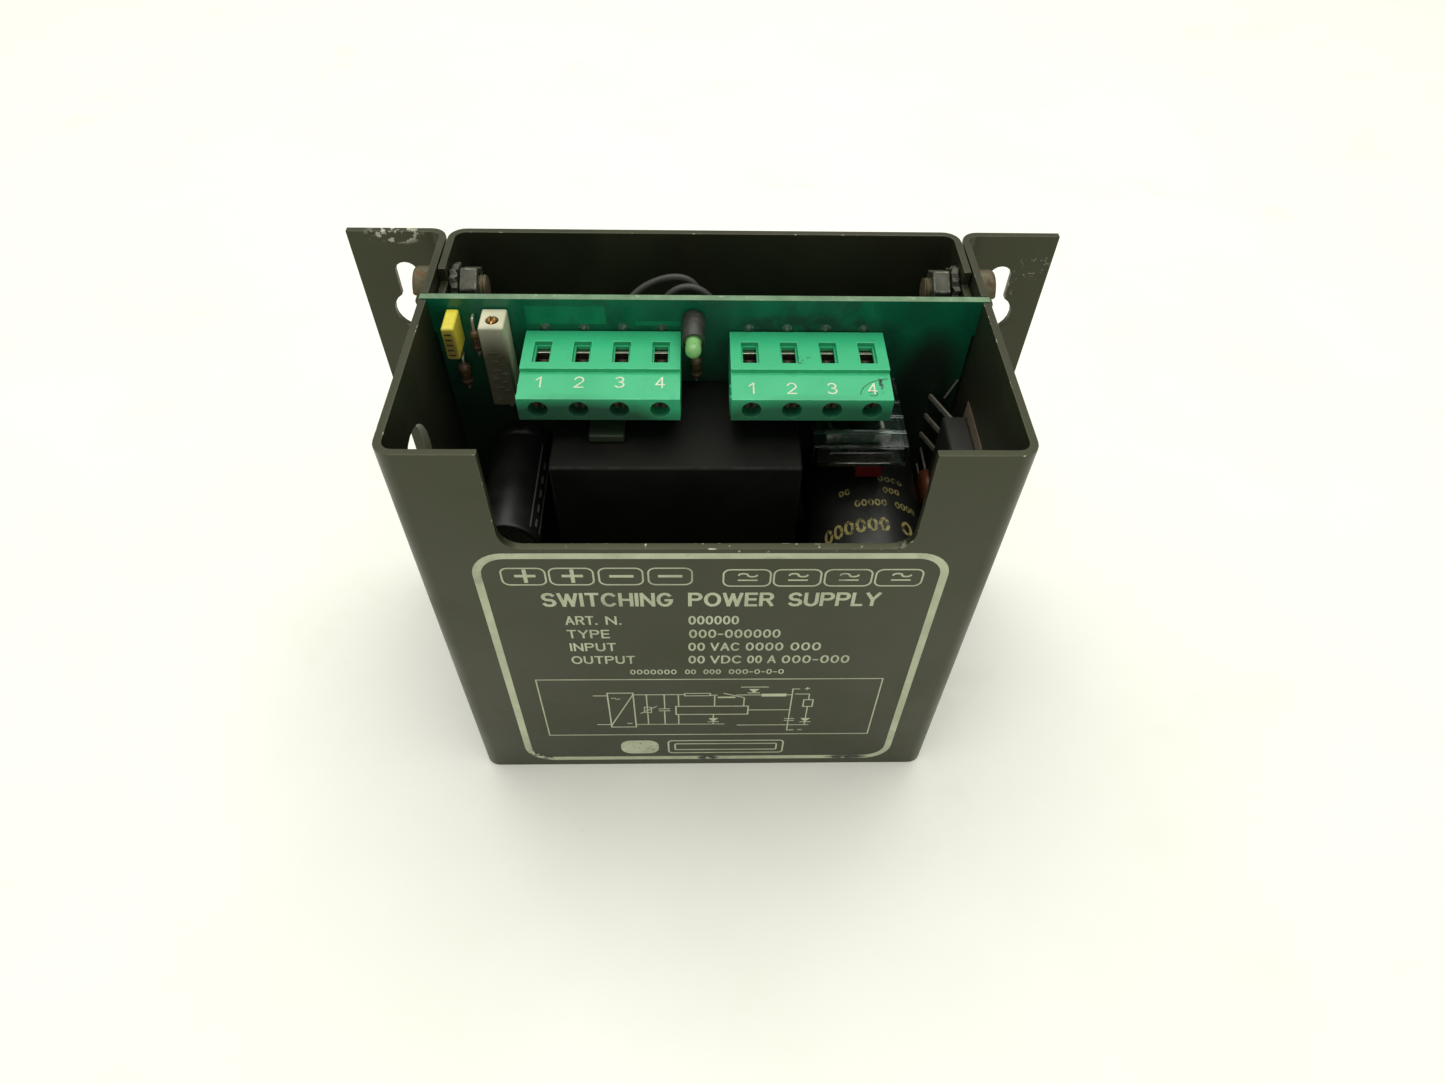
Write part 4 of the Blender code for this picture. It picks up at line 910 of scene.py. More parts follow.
class PSU_OT_print(bpy.types.Operator):
    """Print the frame, signs, plain words and circuit drawing on the front.

    Everything is drawn in millimetres: x, then height.
    """

    bl_idname = "psu.print"
    bl_label = "Front print"

    def execute(self, context):
        bm = bmesh.new()
        outline(bm, (-44.0, 2.6), (45.8, 84.0), 6.5, 1.6)
        for start in (-38.9, -29.9, -20.6, -11.3, 2.9, 12.5, 22.2, 31.9):
            top = 79.8 if start < 0 else 79.3
            end = start + (8.6 if start < 0 else 9.3)
            outline(bm, (start, top - 5.4), (end, top), 1.6, 0.35)
        for x in (-34.3, -25.4):
            stroke(bm, (x - 2.0, 77.3), (x + 2.0, 77.3), 0.75)
            stroke(bm, (x, 75.2), (x, 79.3), 0.75, STROKE_LEVELS[1])
        for x in (-16.2, -7.0):
            stroke(bm, (x - 2.3, 77.2), (x + 2.3, 77.2), 0.75)
        for x in (7.7, 17.3, 27.0, 37.0):
            letters(bm, "~", (x - 1.9, 76.3), (x + 1.9, 79.1), 0.4)
            stroke(bm, (x - 1.9, 75.9), (x + 1.9, 75.9), 0.4)
        for words, low, high in (("SWITCHING", -32.2, -6.6), ("POWER", -3.7, 13.1),
                                 ("SUPPLY", 15.9, 34.0)):
            letters(bm, words, (low, 67.5), (high, 72.0), 0.72)
        self.rating_rows(bm)
        self.circuit(bm)
        emblem = panel_shape((-20.6, 5.8), (-11.4, 12.4), 2.6)
        pour(emblem, bm)
        outline(bm, (-9.2, 5.8), (19.2, 12.4), 1.2, 0.4)
        outline(bm, (-7.6, 7.4), (17.6, 10.8), 0.6, 0.4)
        thicken(bm, context.scene.psu_case.ink_thickness / MM)
        bm.transform(front_sheet())
        piece("front_print", bm, ["screen_ink"])
        return {"FINISHED"}

    def rating_rows(self, bm):
        """Generic row headings and units, with noughts in place of a maker's data."""
        rows = (
            (61.3, 64.3, (("ART.", -28.4, -22.0), ("N.", -20.3, -17.2), ("000000", -3.7, 6.5))),
            (56.5, 59.5, (("TYPE", -28.5, -19.8), ("000-000000", -3.6, 15.2))),
            (51.7, 54.7, (("INPUT", -28.4, -18.8), ("00", -3.8, -0.3), ("VAC", 0.8, 7.0),
                          ("0000", 8.2, 16.1), ("000", 17.6, 24.0))),
            (46.8, 49.8, (("OUTPUT", -28.6, -15.1), ("00", -3.8, -0.3), ("VDC", 0.8, 7.6),
                          ("00", 8.7, 11.9), ("A", 13.0, 14.9), ("000-000", 16.1, 30.6))),
            (42.5, 44.4, (("0000000", -16.5, -6.4), ("00", -4.6, -2.2), ("000", -0.6, 3.2),
                          ("000-0-0-0", 4.9, 16.9))),
        )
        for low, high, words in rows:
            weight = 0.42 if high - low > 2 else 0.28
            for word, start, end in words:
                letters(bm, word, (start, low), (end, high), weight)

    def circuit(self, bm):
        """Block diagram of a switching regulator."""
        outline(bm, (-37.4, 15.2), (39.2, 40.5), 0, 0.3)
        outline(bm, (-22.3, 19.0), (-16.2, 34.8), 0, 0.32)
        thin = (
            ((-22.1, 20.0), (-16.3, 34.2)), ((-25.4, 33.5), (-22.4, 33.5)),
            ((-25.5, 20.4), (-22.2, 20.4)), ((-16.2, 33.9), (-4.9, 33.9)),
            ((1.1, 33.6), (2.6, 33.6)), ((6.9, 33.6), (12.6, 33.6)),
            ((18.2, 33.6), (19.6, 33.6)), ((-13.4, 33.9), (-13.4, 20.4)),
            ((-15.1, 25.5), (-11.2, 28.8)), ((-9.4, 33.9), (-9.4, 27.7)),
            ((-9.5, 26.7), (-9.5, 20.4)), ((-10.8, 27.6), (-8.2, 27.6)),
            ((-10.8, 26.7), (-8.2, 26.7)), ((-6.2, 33.9), (-6.2, 28.9)),
            ((2.0, 33.6), (2.0, 28.8)), ((8.7, 32.5), (8.7, 28.7)),
            ((-6.3, 25.0), (-6.3, 20.4)), ((1.8, 24.9), (1.8, 20.3)),
            ((0.5, 21.5), (3.1, 21.5)), ((-16.2, 20.4), (4.4, 20.4)),
            ((7.4, 19.8), (24.4, 19.8)), ((7.8, 37.0), (14.0, 37.0)),
            ((9.4, 34.5), (12.2, 34.5)), ((9.8, 26.9), (19.4, 26.9)),
            ((19.5, 36.3), (19.4, 17.2)), ((19.5, 36.1), (21.1, 36.1)),
            ((19.4, 17.3), (21.0, 17.3)), ((20.1, 33.9), (23.4, 33.9)),
            ((23.4, 33.9), (23.4, 31.5)), ((23.4, 28.2), (23.4, 19.8)),
            ((18.4, 22.8), (20.8, 22.8)), ((18.4, 21.9), (20.8, 21.9)),
            ((22.1, 21.2), (24.8, 21.2)), ((22.1, 36.3), (23.3, 36.3)),
            ((22.7, 35.7), (22.7, 36.9)), ((22.0, 17.4), (23.0, 17.4)),
            ((4.0, 34.4), (8.6, 32.5)),
        )
        for index, (start, end) in enumerate(thin):
            level = STROKE_LEVELS[index % len(STROKE_LEVELS)]
            stroke(bm, start, end, 0.28, level + 0.002)
        stroke(bm, (2.7, 32.6), (6.7, 32.6), 0.6)
        stroke(bm, (12.6, 33.5), (18.2, 33.5), 1.2)
        outline(bm, (-4.9, 33.2), (1.1, 34.5), 0, 0.25)
        outline(bm, (-14.2, 25.8), (-12.4, 28.5), 0, 0.25)
        outline(bm, (-7.0, 24.8), (9.9, 28.8), 0, 0.3)
        outline(bm, (22.2, 28.2), (24.6, 31.5), 0, 0.3)
        for x, low in ((1.8, 21.5), (10.8, 34.5), (23.4, 21.3)):
            arrow = bmesh.new()
            bmesh.ops.create_circle(
                arrow, cap_ends=True, segments=3, radius=1.35,
                matrix=Matrix.Translation((x, low + 1.1, 0))
                @ Matrix.Diagonal((1, 0.8, 1, 1)) @ Matrix.Rotation(math.pi, 4, "Z"),
            )
            pour(arrow, bm)
        letters(bm, "~", (-21.4, 31.6), (-19.4, 33.2), 0.25)
        stroke(bm, (-18.4, 20.9), (-17.2, 20.9), 0.3)


class PSU_OT_board(bpy.types.Operator):
    """Finish the circuit board, with its tracks and solder joints."""

    bl_idname = "psu.board"
    bl_label = "Board"

    def execute(self, context):
        refined(
            "main_board", ["solder_mask", "glass_epoxy"], 0.05,
            pick=lambda face: 0 if abs(face.normal.y) > 0.8 else 1,
        )
        self.tracks("board_front_tracks", BOARD_FRONT, 1, (
            ((-35.3, 105.35), (-19.8, 105.35), 4.1), ((-14.0, 103.5), (-5.2, 103.5), 1.0),
        ), ends=False)
        self.tracks("board_rear_tracks", BOARD_BACK, -1, (
            ((-33.0, 96.0), (-33.0, 66.0), 7.0), ((-33.0, 66.0), (-12.0, 60.0), 7.0),
            ((-14.0, 97.0), (-14.0, 74.0), 9.0), ((-14.0, 74.0), (12.0, 70.0), 6.0),
            ((9.0, 97.0), (9.0, 80.0), 7.0), ((9.0, 80.0), (32.0, 72.0), 7.0),
            ((28.0, 97.0), (28.0, 88.0), 7.0), ((28.0, 88.0), (47.0, 84.0), 4.0),
            ((47.0, 74.0), (40.0, 52.0), 5.0), ((40.0, 52.0), (-6.0, 46.0), 4.0),
            ((-38.0, 40.0), (-38.0, 20.0), 3.0), ((-38.0, 20.0), (22.0, 12.0), 3.0),
            ((16.0, 37.0), (-10.0, 30.0), 1.6), ((33.0, 37.0), (44.0, 26.0), 1.6),
            ((-48.0, 100.0), (-48.0, 52.0), 1.6), ((22.0, 40.0), (22.0, 56.0), 1.2),
            ((26.0, 40.0), (30.0, 60.0), 1.2), ((-46.0, 12.0), (-20.0, 8.0), 2.4),
        ))
        bumps = bmesh.new()
        bm = bmesh.new()
        for block in BLOCK_CENTRES:
            for x in pole_positions(block):
                self.joint(bumps, x, BOARD_FRONT, 102.4, -1, 1.1, 0.5)
                self.joint(bm, x, BOARD_BACK, 96.6, 1, 1.3, 1.3)
        spots = (  # x and height of the other round joints
            (29.0, 65.0), (39.0, 65.0), (-42.5, 71.4), (-37.5, 71.4),
            (-40.5, 30.0), (-35.5, 30.0), (-48.8, 100.6), (-48.8, 104.8),
            (47.6, 74.55), (47.6, 80.0), (47.6, 85.45), (-40.9, 90.5), (-40.9, 97.4),
            (-40.9, 104.4), (-3.2, 104.9), (-1.4, 104.9), (-26.0, 58.0), (-18.0, 58.0),
            (6.0, 58.0), (14.0, 58.0), (-26.0, 84.0), (14.0, 84.0), (-16.0, 18.0),
            (0.0, 18.0), (-16.0, 36.0), (0.0, 36.0), (24.8, 87.6), (35.4, 87.6),
            (31.6, 81.5), (34.8, 81.5), (48.6, 64.7), (48.6, 69.7),
            (-19.0, 93.5), (-0.6, 92.5), (-11.0, 95.5), (3.4, 96.0),
            (-48.9, 85.6), (-48.9, 97.2), (-45.4, 94.9), (-45.4, 103.5),
            (-1.75, 90.0), (-1.75, 97.4),
        )
        for x, z in spots:
            self.joint(bm, x, BOARD_BACK, z, 1, 1.05, 1.0)
        for x in CHIP_PINS:
            for z in (33.6, 40.4):
                self.joint(bm, x, BOARD_BACK, z, 1, 0.75, 0.7)
        piece("covered_pin_joints", bumps, ["mask_over_pins"])
        piece("solder_joints", bm, ["solder"])
        return {"FINISHED"}

    def tracks(self, name, depth, facing, lines, ends=True):
        """Copper tracks under the mask, just proud of the board."""
        bm = bmesh.new()
        for start, end, width in lines:
            stroke(bm, start, end, width)
            for x, z in (start, end) if ends else ():
                bmesh.ops.create_circle(
                    bm, cap_ends=True, segments=20, radius=width / 2,
                    matrix=Matrix.Translation((x, z, 0)),
                )
        thicken(bm, 0.03)
        turn = UPRIGHT
        if facing < 0:
            turn = turn @ Matrix.Diagonal((1, 1, -1, 1))
        bm.transform(
            Matrix.Translation(at(0, depth - 0.004 * facing, 0)) @ turn @ TO_METRES
        )
        bmesh.ops.recalc_face_normals(bm, faces=bm.faces[:])
        piece(name, bm, ["mask_over_copper"])

    def joint(self, bm, x, depth, z, facing, radius, height):
        """A solder fillet with the end of its lead."""
        profile = (
            (0, 0), (radius, 0), (0.62 * radius, 0.28 * height), (0.4 * radius, 0.7 * height),
            (0.3 * radius, height), (0.16 * radius, 1.12 * height), (0, 1.15 * height),
        )
        pour(turned(profile, 14, at(x, depth, z), (0, facing, 0)), bm)


class PSU_OT_terminals(bpy.types.Operator):
    """Finish both terminal blocks with their screws, clamps and digits."""

    bl_idname = "psu.terminals"
    bl_label = "Terminal blocks"

    def execute(self, context):
        for block in BLOCK_CENTRES:
            refined(f"{block}_terminal_housing", ["terminal_moulding"], 0.14)
            digits = bmesh.new()
            bars = bmesh.new()
            rims = bmesh.new()
            side = BLOCK_CENTRES[block] - 2 * POLE_PITCH
            for depth in SIDE_RIB_DEPTHS:
                bar(rims, (side - 0.25, depth, 95.8), (side + 0.05, depth + 0.7, 100.2), 0.08)
            middle = DIGIT_DEPTHS[block]
            for number, x in enumerate(pole_positions(block), start=1):
                low = middle - 1.45 - BLOCK_FRONT_DEPTH
                half = 0.55 if number == 1 else 0.95
                letters(digits, str(number), (x - half, low), (x + half, low + 3.0), 0.3)
                for low_z, back, high_z in CONTACT_BARS:
                    bar(bars, (x - 1.6, 37.1, low_z), (x + 1.6, back, high_z), 0.1)
                name = f"{block}_terminal_screw_{number}"
                # the terminal screws' steel is darkened as painted shade
                refined(name, ["shaded_terminal_screw_steel"], 0.09, body=name)
                name = f"{block}_clamp_{number}"
                # the clamp's opening takes the darker steel as painted shade
                refined(name, ["clamp_steel", "shaded_clamp_steel"], 0.12, body=name,
                        pick=lambda face, pole=x: self.inside_clamp(face, pole))
                self.entry_rim(rims, x)
            thicken(digits, 0.03)
            digits.transform(self.marking_face())
            piece(f"{block}_terminal_digits", digits, ["white_ink"])
            # the contact bars deep in the openings take the same painted shade
            piece(f"{block}_contact_bars", bars, ["shaded_clamp_steel"])
            if block == "input":
                self.scratch()
            piece(f"{block}_entry_rims", rims, ["terminal_moulding"])
        return {"FINISHED"}

    def scratch(self):
        """A curved scratch across the input block's last digit, dark with grime."""
        bm = bmesh.new()
        arc = bow(35.2, 1.2, 6.4, 4.6, 178, 96, 12)
        hook = bow(31.2, 1.7, 0.8, 0.6, 150, -150, 10)
        for points in (arc, hook):
            for index, (start, end) in enumerate(zip(points, points[1:])):
                stroke(bm, start, end, 0.14, STROKE_LEVELS[index % 2])
        thicken(bm, 0.02)
        bm.transform(self.marking_face())
        piece("input_terminal_scratch", bm, ["grime"])

    def marking_face(self):
        """Turns a flat drawing in millimetres onto the blocks' sloping top."""
        return (
            Matrix.Translation(at(0, BLOCK_FRONT_DEPTH, MARKING_FRONT_HEIGHT + 0.004))
            @ Matrix.Rotation(MARKING_TILT, 4, "X")
            @ TO_METRES
        )

    def inside_clamp(self, face, pole):
        """Second material, the darker copy that paints shade, for the walls of a clamp's wire
        opening.
        """
        place = face.calc_center_median()
        across = abs(place.x / MM - pole)
        behind = (place.y - FRONT_Y) / MM
        return 1 if across < 1.75 and 33.4 < behind < 37.7 and abs(face.normal.z) < 0.5 else 0

    def entry_rim(self, bm, x):
        """The narrower lower part of a wire entry."""
        low, high, wall = 100.08, 100.95, 0.35
        left, right, front, back = x - 1.68, x + 1.68, 32.48, 38.82
        bar(bm, (left, front, low), (left + wall, back, high), 0.05)
        bar(bm, (right - wall, front, low), (right, back, high), 0.05)
        bar(bm, (left + wall, back - wall, low), (right - wall, back, high), 0.05)
        bar(bm, (left + wall, front, low), (right - wall, front + wall, high), 0.05)


class PSU_OT_trimmer(bpy.types.Operator):
    """Finish the voltage trimmer."""

    bl_idname = "psu.trimmer"
    bl_label = "Trimmer"

    def execute(self, context):
        refined("trimmer_body", ["trimmer_case"], 0.12)
        refined("trimmer_screw", ["brass"], 0.08, body="trimmer_screw")
        refined("trimmer_wiper", ["clamp_steel"], 0.08, body="trimmer_wiper")
        marks = []
        for z, width in ((92.4, 1.5), (94.6, 1.1), (96.7, 1.6), (98.9, 1.2), (101.0, 1.5)):
            marks += [
                ((-41.9, 35.62, z), (-41.9 + width, 35.8, z + 0.5)),
                ((-40.6, 35.62, z - 0.7), (-40.6 + width * 0.8, 35.8, z - 0.3)),
            ]
        boxes("trimmer_raised_marks", marks, "trimmer_case", 0.05)
        pins = [
            ([at(-40.885, 41.9, z), at(-40.885, LEAD_TIP, z)], 0.3)
            for z in (90.5, 97.4, 104.4)
        ]
        hook = bent([at(-39.4, 41.8, 88.6), at(-39.4, 37.0, 87.6), at(-39.9, 36.2, 87.5)], 0.5)
        tinned("trimmer_leads", [*pins, (hook, 0.28)])
        return {"FINISHED"}


class PSU_OT_lamp(bpy.types.Operator):
    """Finish the power lamp and its spacer."""

    bl_idname = "psu.lamp"
    bl_label = "Power lamp"

    def execute(self, context):
        dome = [
            (1.5 * math.cos(math.radians(a)), 3.8 + 1.5 * math.sin(math.radians(a)))
            for a in range(0, 90, 9)
        ] + [(0, 5.3)]
        lens = turned(
            [(0, 0), (1.72, 0), (1.72, 0.9), (1.5, 1.05)] + dome, 32,
            at(LAMP_X, 36.0, LAMP_Z), (0, -1, 0),
        )
        piece("power_lamp_lens", lens, ["lamp_lens"],
              stands_for=("power_lamp",))
        tinned("power_lamp_leads", [
            ([at(x, 35.9, LAMP_Z), at(x, LEAD_TIP, LAMP_Z)], 0.25)
            for x in (LAMP_X - 0.9, LAMP_X + 0.9)
        ])
        tube = turned(
            [(1.8, 0.2), (2.0, 0), (2.15, 0), (2.25, 0.15), (2.25, 7.4), (2.1, 7.6),
             (1.9, 7.6), (1.8, 7.4), (1.8, 0.2)], 36, at(LAMP_X, PART_SEAT, LAMP_Z),
            (0, -1, 0),
        )
        piece("lamp_spacer_tube", tube, ["spacer_plastic"],
              stands_for=("lamp_spacer",))
        return {"FINISHED"}


class PSU_OT_capacitors(bpy.types.Operator):
    """Finish the can, film, suppression and disc capacitors."""

    bl_idname = "psu.capacitors"
    bl_label = "Capacitors"

    def execute(self, context):
        for name in CANS:
            self.can(name)
        self.print_on_bulk()
        self.stripe("output_capacitor", 28.0, 3.0)
        self.stripe("lower_capacitor", 20.0, 4.0)
        refined("film_capacitor", ["yellow_case"], 0.2)
        boxes("film_capacitor_marks", [
            ((-49.7, 35.57, z), (-48.4, 35.62, z + 0.35))
            for z in (100.6, 101.8, 103.0, 104.2, 105.4)
        ], "band_dark")
        film = [
            ([at(-49.0, 42.0, z), at(-49.0, LEAD_TIP, z)], 0.25) for z in (101.3, 105.5)
        ]
        disc_leads = [
            (bent([at(48.6, depth, z) for depth in (33.5, 41.0, LEAD_TIP)], 0.5), 0.25)
            for z in (64.7, 69.7)
        ]
        tinned("capacitor_leads", film + disc_leads)
        refined("suppression_capacitor", ["red_case"], 0.3)
        disc = turned(
            [(0, 0), (3.0, 0.05), (3.8, 0.4), (4.15, 1.0), (4.2, 1.5), (4.15, 2.0),
             (3.8, 2.6), (3.0, 2.95), (0, 3.0)], 32, at(47.1, 32.4, 67.2), (1, 0, 0),
        )
        piece("disc_capacitor_body", disc, ["orange_coating"],
              stands_for=("disc_capacitor",))
        return {"FINISHED"}

    def can(self, name):
        """A sleeved aluminium can with a scored end facing the front."""
        x, z, radius, length = CANS[name]
        lip = 0.05 * radius
        body = turned(
            [(0, 0), (radius - lip, 0), (radius, lip), (radius, 0.085 * length),
             (0.965 * radius, 0.1 * length), (0.93 * radius, 0.11 * length),
             (0.965 * radius, 0.12 * length), (radius, 0.135 * length),
             (radius, length - 2 * lip), (radius - 0.3 * lip, length - 0.7 * lip),
             (radius - lip, length - 0.1 * lip), (radius - 2 * lip, length),
             (radius - 2.3 * lip, length - 0.3 * lip), (radius - 2.5 * lip, length - lip),
             (0, length - lip)], 56, at(x, PART_SEAT, z), (0, -1, 0),
            bands=((length - 1.01 * lip, length - 0.31 * lip, 1),),
        )
        for face in body.faces:
            far = (face.calc_center_median() - at(x, PART_SEAT, z)).xz.length
            if face.material_index == 1 and far > (radius - 2.2 * lip) * MM:
                face.material_index = 0
        piece(f"{name}_can", body, ["sleeve", "can_aluminium"],
              stands_for=(name,))
        score = bmesh.new()
        end = PART_SEAT - length + lip
        for angle in (90, 210, 330):
            arm = bmesh.new()
            stroke(arm, (0, 0), (0.55 * radius, 0), 0.35)
            thicken(arm, 0.06)
            arm.transform(
                Matrix.Translation(at(x, end, z)) @ UPRIGHT
                @ Matrix.Rotation(math.radians(angle), 4, "Z") @ TO_METRES
            )
            pour(arm, score)
        piece(f"{name}_vent_score", score, ["sleeve"])

    def wrap(self, bm, can, name, ink):
        """Bend a drawing (arc length, depth in mm) round a can, as a closed piece."""
        x, z, radius, _ = CANS[can]
        thicken(bm, 0.03)
        for vert in bm.verts:
            angle = vert.co.x / radius
            reach = radius + 0.01 + vert.co.z
            vert.co = at(
                x + reach * math.sin(angle), vert.co.y, z + reach * math.cos(angle),
            )
        bmesh.ops.recalc_face_normals(bm, faces=bm.faces[:])
        piece(name, bm, [ink])

    def print_on_bulk(self):
        """Rows of gold noughts round the large can."""
        bm = bmesh.new()
        rows = (  # each: low and high edge, line weight, then words with their ends
            (11.0, 14.6, 0.62, (("000000", -11.6, 2.4), ("0", 5.0, 7.6))),
            (17.8, 19.6, 0.32, (("00000", -4.0, 2.6), ("0000", 4.4, 9.6))),
            (21.6, 23.2, 0.3, (("00", -7.0, -4.6), ("000", 2.2, 6.0))),
            (24.8, 26.2, 0.28, (("0000", 1.5, 7.2),)),
        )
        for low, high, weight, words in rows:
            for word, start, end in words:
                letters(bm, word, (start, low), (end, high), weight)
        bmesh.ops.subdivide_edges(bm, edges=bm.edges[:], cuts=1, use_grid_fill=True)
        self.wrap(bm, "bulk_capacitor", "bulk_capacitor_print", "gold_print")

    def stripe(self, can, middle, width):
        """A grey stripe with minus signs along a can, on its right side."""
        bm = bmesh.new()
        radius, length = CANS[can][2:]
        low, high = PART_SEAT - length + 1.6, PART_SEAT - 0.16 * length
        centre = math.radians(middle * 2.2) * radius
        for side in (-0.5, 0.5):
            stroke(bm, (centre + side * width, low), (centre + side * width, high), 0.3)
        spot = low + 2.0
        while spot < high - 2.0:
            stroke(bm, (centre, spot - 1.0), (centre, spot + 1.0), 0.6)
            spot += 4.0
        bmesh.ops.subdivide_edges(bm, edges=bm.edges[:], cuts=2, use_grid_fill=True)
        self.wrap(bm, can, f"{can}_stripe", "grey_print")


class PSU_OT_resistors(bpy.types.Operator):
    """Finish the three axial resistors."""

    bl_idname = "psu.resistors"
    bl_label = "Resistors"

    def execute(self, context):
        for name, (x, low, high, radius, depth, tails) in RESISTORS.items():
            length = high - low
            body = turned(
                [(radius * r, length * t) for r, t in RESISTOR_PROFILE], 24,
                at(x, depth, low), (0, 0, 1),
                bands=[(a * length, b * length, index) for a, b, index in RESISTOR_BANDS],
            )
            piece(f"{name}_body", body, ["resistor_tan", "band_dark", "band_gold"],
                  stands_for=(name,))
            tinned(f"{name}_leads", [
                (bent([at(x, depth, end), at(x, depth, foot), at(x, LEAD_TIP, foot)], 0.7),
                 0.28)
                for end, foot in ((low, low - tails[0]), (high, high + tails[1]))
            ])
        return {"FINISHED"}


class PSU_OT_magnetics(bpy.types.Operator):
    """Finish the chokes and the block on the large one."""

    bl_idname = "psu.magnetics"
    bl_label = "Chokes"

    def execute(self, context):
        refined("storage_choke", ["black_moulding"], 0.3, segments=3)
        refined("choke_spacer", ["olive_board"], 0.15)
        refined("filter_choke", ["olive_board"], 0.4, segments=3)
        return {"FINISHED"}


class PSU_OT_semiconductors(bpy.types.Operator):
    """Finish the power transistor, its pad and screw, and the control chip."""

    bl_idname = "psu.semiconductors"
    bl_label = "Transistor and chip"

    def execute(self, context):
        refined("transistor_screw", ["zinc_steel"], 0.15)
        refined("power_transistor", ["epoxy", "tinned_wire"], 0.12, hard=40.0,
                pick=lambda face: 1 if face.calc_center_median().y > at(0, 33.4, 0).y
                else 0)
        boxes("transistor_pad", [((53.24, 10.6, 69.4), (53.46, 34.8, 90.4))],
              "insulating_pad", 0.05)
        refined("control_chip", ["epoxy"], 0.15)
        tinned("control_chip_legs", [
            (bent([at(x, 40.2, z), at(x, 40.2, z + out), at(x, CLIP_TIP, z + out)], 0.3), 0.25)
            for x in CHIP_PINS for z, out in ((33.8, -0.6), (40.2, 0.6))
        ])
        tinned("bare_wire_stub", [([at(52.6, 41.9, 90.0), at(50.7, 41.7, 85.2)], 0.22)])
        return {"FINISHED"}


class PSU_OT_fuse(bpy.types.Operator):
    """Finish the fuse and its ribbed clear cover."""

    bl_idname = "psu.fuse"
    bl_label = "Fuse"

    def execute(self, context):
        refined("fuse_cover", ["clear_moulding"], 0.18)
        ribs = [
            ((20.9, depth, 90.35), (39.3, depth + 0.7, 90.7)) for depth in (25.0, 29.5, 34.0)
        ]
        boxes("fuse_cover_ribs", [*ribs, ((24.0, 21.0, 86.2), (36.2, 21.35, 89.0))],
              "clear_moulding", 0.1)
        tube = turned(
            [(0, 0), (1.2, 0), (1.5, 0.2), (1.5, 3.0), (1.4, 3.2), (1.29, 3.25),
             (1.29, 9.75), (1.4, 9.8), (1.5, 10.0), (1.5, 12.8), (1.2, 13.0), (0, 13.0)],
            28, at(23.6, 27.0, 87.6), (1, 0, 0),
            bands=((0.0, 3.2, 1), (9.8, 13.0, 1)),
        )
        piece("fuse_link_tube", tube, ["fuse_glass", "zinc_steel"],
              stands_for=("fuse_link",))
        boxes("fuse_clips", [
            ((x - 0.4, 28.3, 87.2), (x + 0.4, CLIP_TIP, 88.0)) for x in (24.8, 35.4)
        ], "tinned_wire", 0.1)
        return {"FINISHED"}


class PSU_OT_wires(bpy.types.Operator):
    """Finish the two insulated jumper wires."""

    bl_idname = "psu.wires"
    bl_label = "Jumper wires"

    def execute(self, context):
        for node in ("jumper_wire_long", "jumper_wire_short"):
            bm = merged_copy(node)
            obj = piece(f"{node}_finished", bm, ["cable_pvc"],
                        stands_for=(node,), sharp=70)
            smooth = obj.modifiers.new("round_tube", "SUBSURF")
            smooth.levels = smooth.render_levels = 2
        return {"FINISHED"}


class PSU_OT_fasteners(bpy.types.Operator):
    """Finish the four side screws with threads, toothed washers and nuts."""

    bl_idname = "psu.fasteners"
    bl_label = "Side fasteners"

    def execute(self, context):
        pitch = context.scene.psu_parts.thread_pitch / MM
        for side, sign in zip(SIDES, (-1, 1)):
            for level, height in LEVELS.items():
                refined(f"side_screw_{side}_{level}", ["browned_steel"], 0.45, segments=3)
                refined(f"hex_nut_{side}_{level}", ["nut_steel"], 0.35, segments=3, hard=25)
                self.washer(f"lock_washer_{side}_{level}", height)
                thread = self.thread(2.3, 2.6, pitch, THREAD_LENGTH)
                start = at(sign * THREAD_START, FASTENER_DEPTH, height)
                thread.transform(aligned(start, (sign, 0, 0)))
                piece(f"side_screw_thread_{side}_{level}", thread, ["browned_steel"])
        return {"FINISHED"}

    def washer(self, node, height):
        """The frame's toothed washer with each tooth twisted out of the plane."""
        bm = merged_copy(node)
        low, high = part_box(node)
        middle = (low.x + high.x) / 2
        centre = at(0, FASTENER_DEPTH, height)
        for vert in bm.verts:
            y, z = vert.co.y - centre.y, vert.co.z - centre.z
            if math.hypot(y, z) > TOOTH_ROOT * MM:
                turn = math.atan2(z, y) / math.tau * HALF_TEETH
                lean = 1 if (math.floor(turn + 0.5) + (turn > round(turn))) % 2 else -1
                vert.co.x = middle + (vert.co.x - middle) * 0.7 + lean * 0.32 * MM
        round_edges(bm, 0.06 * MM, 1)
        piece(f"{node}_finished", bm, ["nut_steel"], stands_for=(node,))

    def thread(self, root, crest, pitch, length):
        """A helical thread of that length, starting at the origin along +Z."""
        steps = 28
        turns = math.ceil(length / pitch) + 2
        bm = bmesh.new()
        spots = ((root, 0), (crest, 0.42), (crest, 0.58), (root, 1.0))
        verts = [bm.verts.new((r * MM, 0, (t - 1) * pitch * MM)) for r, t in spots]
        edges = [bm.edges.new(pair) for pair in zip(verts, verts[1:])]
        bmesh.ops.spin(
            bm, geom=verts + edges, cent=(0, 0, 0), axis=(0, 0, 1),
            dvec=(0, 0, pitch * MM / steps), angle=math.tau * turns, steps=steps * turns,
        )
        bmesh.ops.remove_doubles(bm, verts=bm.verts, dist=0.002 * MM)
        for height, outer in ((0.0, False), (length * MM, True)):
            cut = bmesh.ops.bisect_plane(
                bm, geom=bm.verts[:] + bm.edges[:] + bm.faces[:], plane_co=(0, 0, height),
                plane_no=(0, 0, 1), clear_inner=not outer, clear_outer=outer,
            )
            rim = [item for item in cut["geom_cut"] if isinstance(item, bmesh.types.BMEdge)]
            bmesh.ops.edgeloop_fill(bm, edges=rim)
        bmesh.ops.recalc_face_normals(bm, faces=bm.faces[:])
        return bm


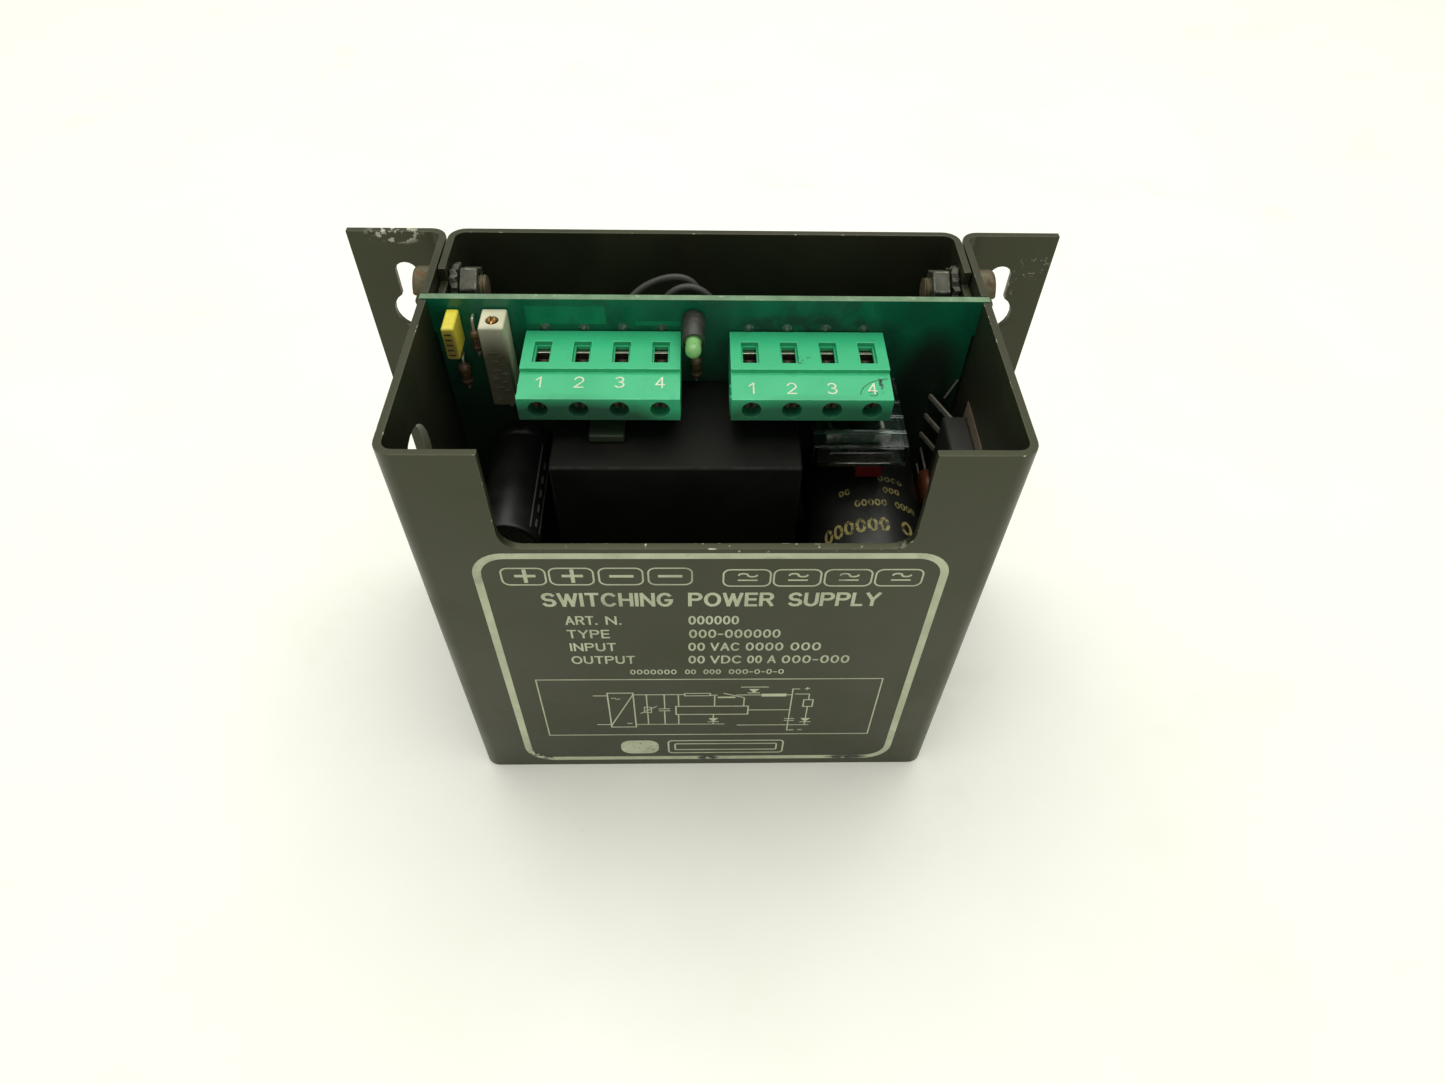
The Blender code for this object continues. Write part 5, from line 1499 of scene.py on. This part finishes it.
class PSU_OT_stage(bpy.types.Operator):
    """Set the floor, the light and the camera."""

    bl_idname = "psu.stage"
    bl_label = "Stage"

    def execute(self, context):
        self.floor(context.scene)
        self.light(context.scene)
        self.camera(context.scene)
        context.scene.view_settings.view_transform = "Standard"
        return {"FINISHED"}

    def floor(self, scene):
        """A wide flat floor, which isn't part of the object."""
        bm = bmesh.new()
        bmesh.ops.create_grid(bm, x_segments=2, y_segments=2, size=FLOOR_REACH)
        mesh = bpy.data.meshes.new("floor")
        bm.to_mesh(mesh)
        bm.free()
        mesh.materials.append(finish("floor_paper"))
        floor = bpy.data.objects.new("floor", mesh)
        scene.collection.objects.link(floor)

    def light(self, scene):
        """Even light from all round and one square softbox overhead."""
        world = bpy.data.worlds.new("even_light")
        world.use_nodes = True
        background = world.node_tree.nodes["Background"]
        background.inputs["Color"].default_value = linear("#fcfcf3")
        background.inputs["Strength"].default_value = scene.psu_stage.ambient
        scene.world = world
        data = bpy.data.lights.new("overhead_softbox", "AREA")
        data.size = SOFTBOX_SIDE
        data.energy = scene.psu_stage.softbox
        data.color = linear("#fffdf6")[:3]
        lamp = bpy.data.objects.new("overhead_softbox", data)
        scene.collection.objects.link(lamp)
        aim = Vector(SOFTBOX_TARGET) - Vector(SOFTBOX_PLACE)
        turn = aim.to_track_quat("-Z", "Y").to_matrix().to_4x4()
        lamp.matrix_world = Matrix.Translation(SOFTBOX_PLACE) @ turn

    def camera(self, scene):
        """A camera above and in front of the panel, looking down at it."""
        data = bpy.data.cameras.new("camera")
        data.sensor_width = SENSOR_WIDTH
        data.lens = scene.psu_stage.lens
        data.clip_start = 0.01
        camera = bpy.data.objects.new("camera", data)
        scene.collection.objects.link(camera)
        turn = Matrix.Identity(4)
        for angle, axis in CAMERA_TURNS:
            turn = turn @ Matrix.Rotation(math.radians(angle), 4, axis)
        place = [value * MM for value in CAMERA_PLACE]
        camera.matrix_world = Matrix.Translation(place) @ turn
        scene.camera = camera


OPERATORS = (
    PSU_OT_case, PSU_OT_print, PSU_OT_board, PSU_OT_terminals, PSU_OT_trimmer,
    PSU_OT_lamp, PSU_OT_capacitors, PSU_OT_resistors, PSU_OT_magnetics,
    PSU_OT_semiconductors, PSU_OT_fuse, PSU_OT_wires, PSU_OT_fasteners, PSU_OT_stage,
)


class PSU_PT_panel(bpy.types.Panel):
    """Lists the groups of parts and their settings."""

    bl_label = "Switching power supply"
    bl_idname = "PSU_PT_panel"
    bl_space_type = "VIEW_3D"
    bl_region_type = "UI"
    bl_category = "Supply"

    def draw(self, context):
        for group in ("psu_case", "psu_parts", "psu_stage"):
            settings = getattr(context.scene, group)
            for key in settings.__annotations__:
                self.layout.prop(settings, key)
        for operator in OPERATORS:
            self.layout.operator(operator.bl_idname)


SETTINGS = {
    "psu_case": PSU_CaseSettings,
    "psu_parts": PSU_PartSettings,
    "psu_stage": PSU_StageSettings,
}
CLASSES = (*SETTINGS.values(), *OPERATORS, PSU_PT_panel)


def register():
    for cls in CLASSES:
        bpy.utils.register_class(cls)
    for name, cls in SETTINGS.items():
        setattr(bpy.types.Scene, name, bpy.props.PointerProperty(type=cls))


def unregister():
    for name in SETTINGS:
        delattr(bpy.types.Scene, name)
    for cls in reversed(CLASSES):
        bpy.utils.unregister_class(cls)


def main():
    """Dress the frame."""
    register()
    for operator in OPERATORS:
        group, action = operator.bl_idname.split(".")
        getattr(getattr(bpy.ops, group), action)()


if __name__ == "__main__":
    main()
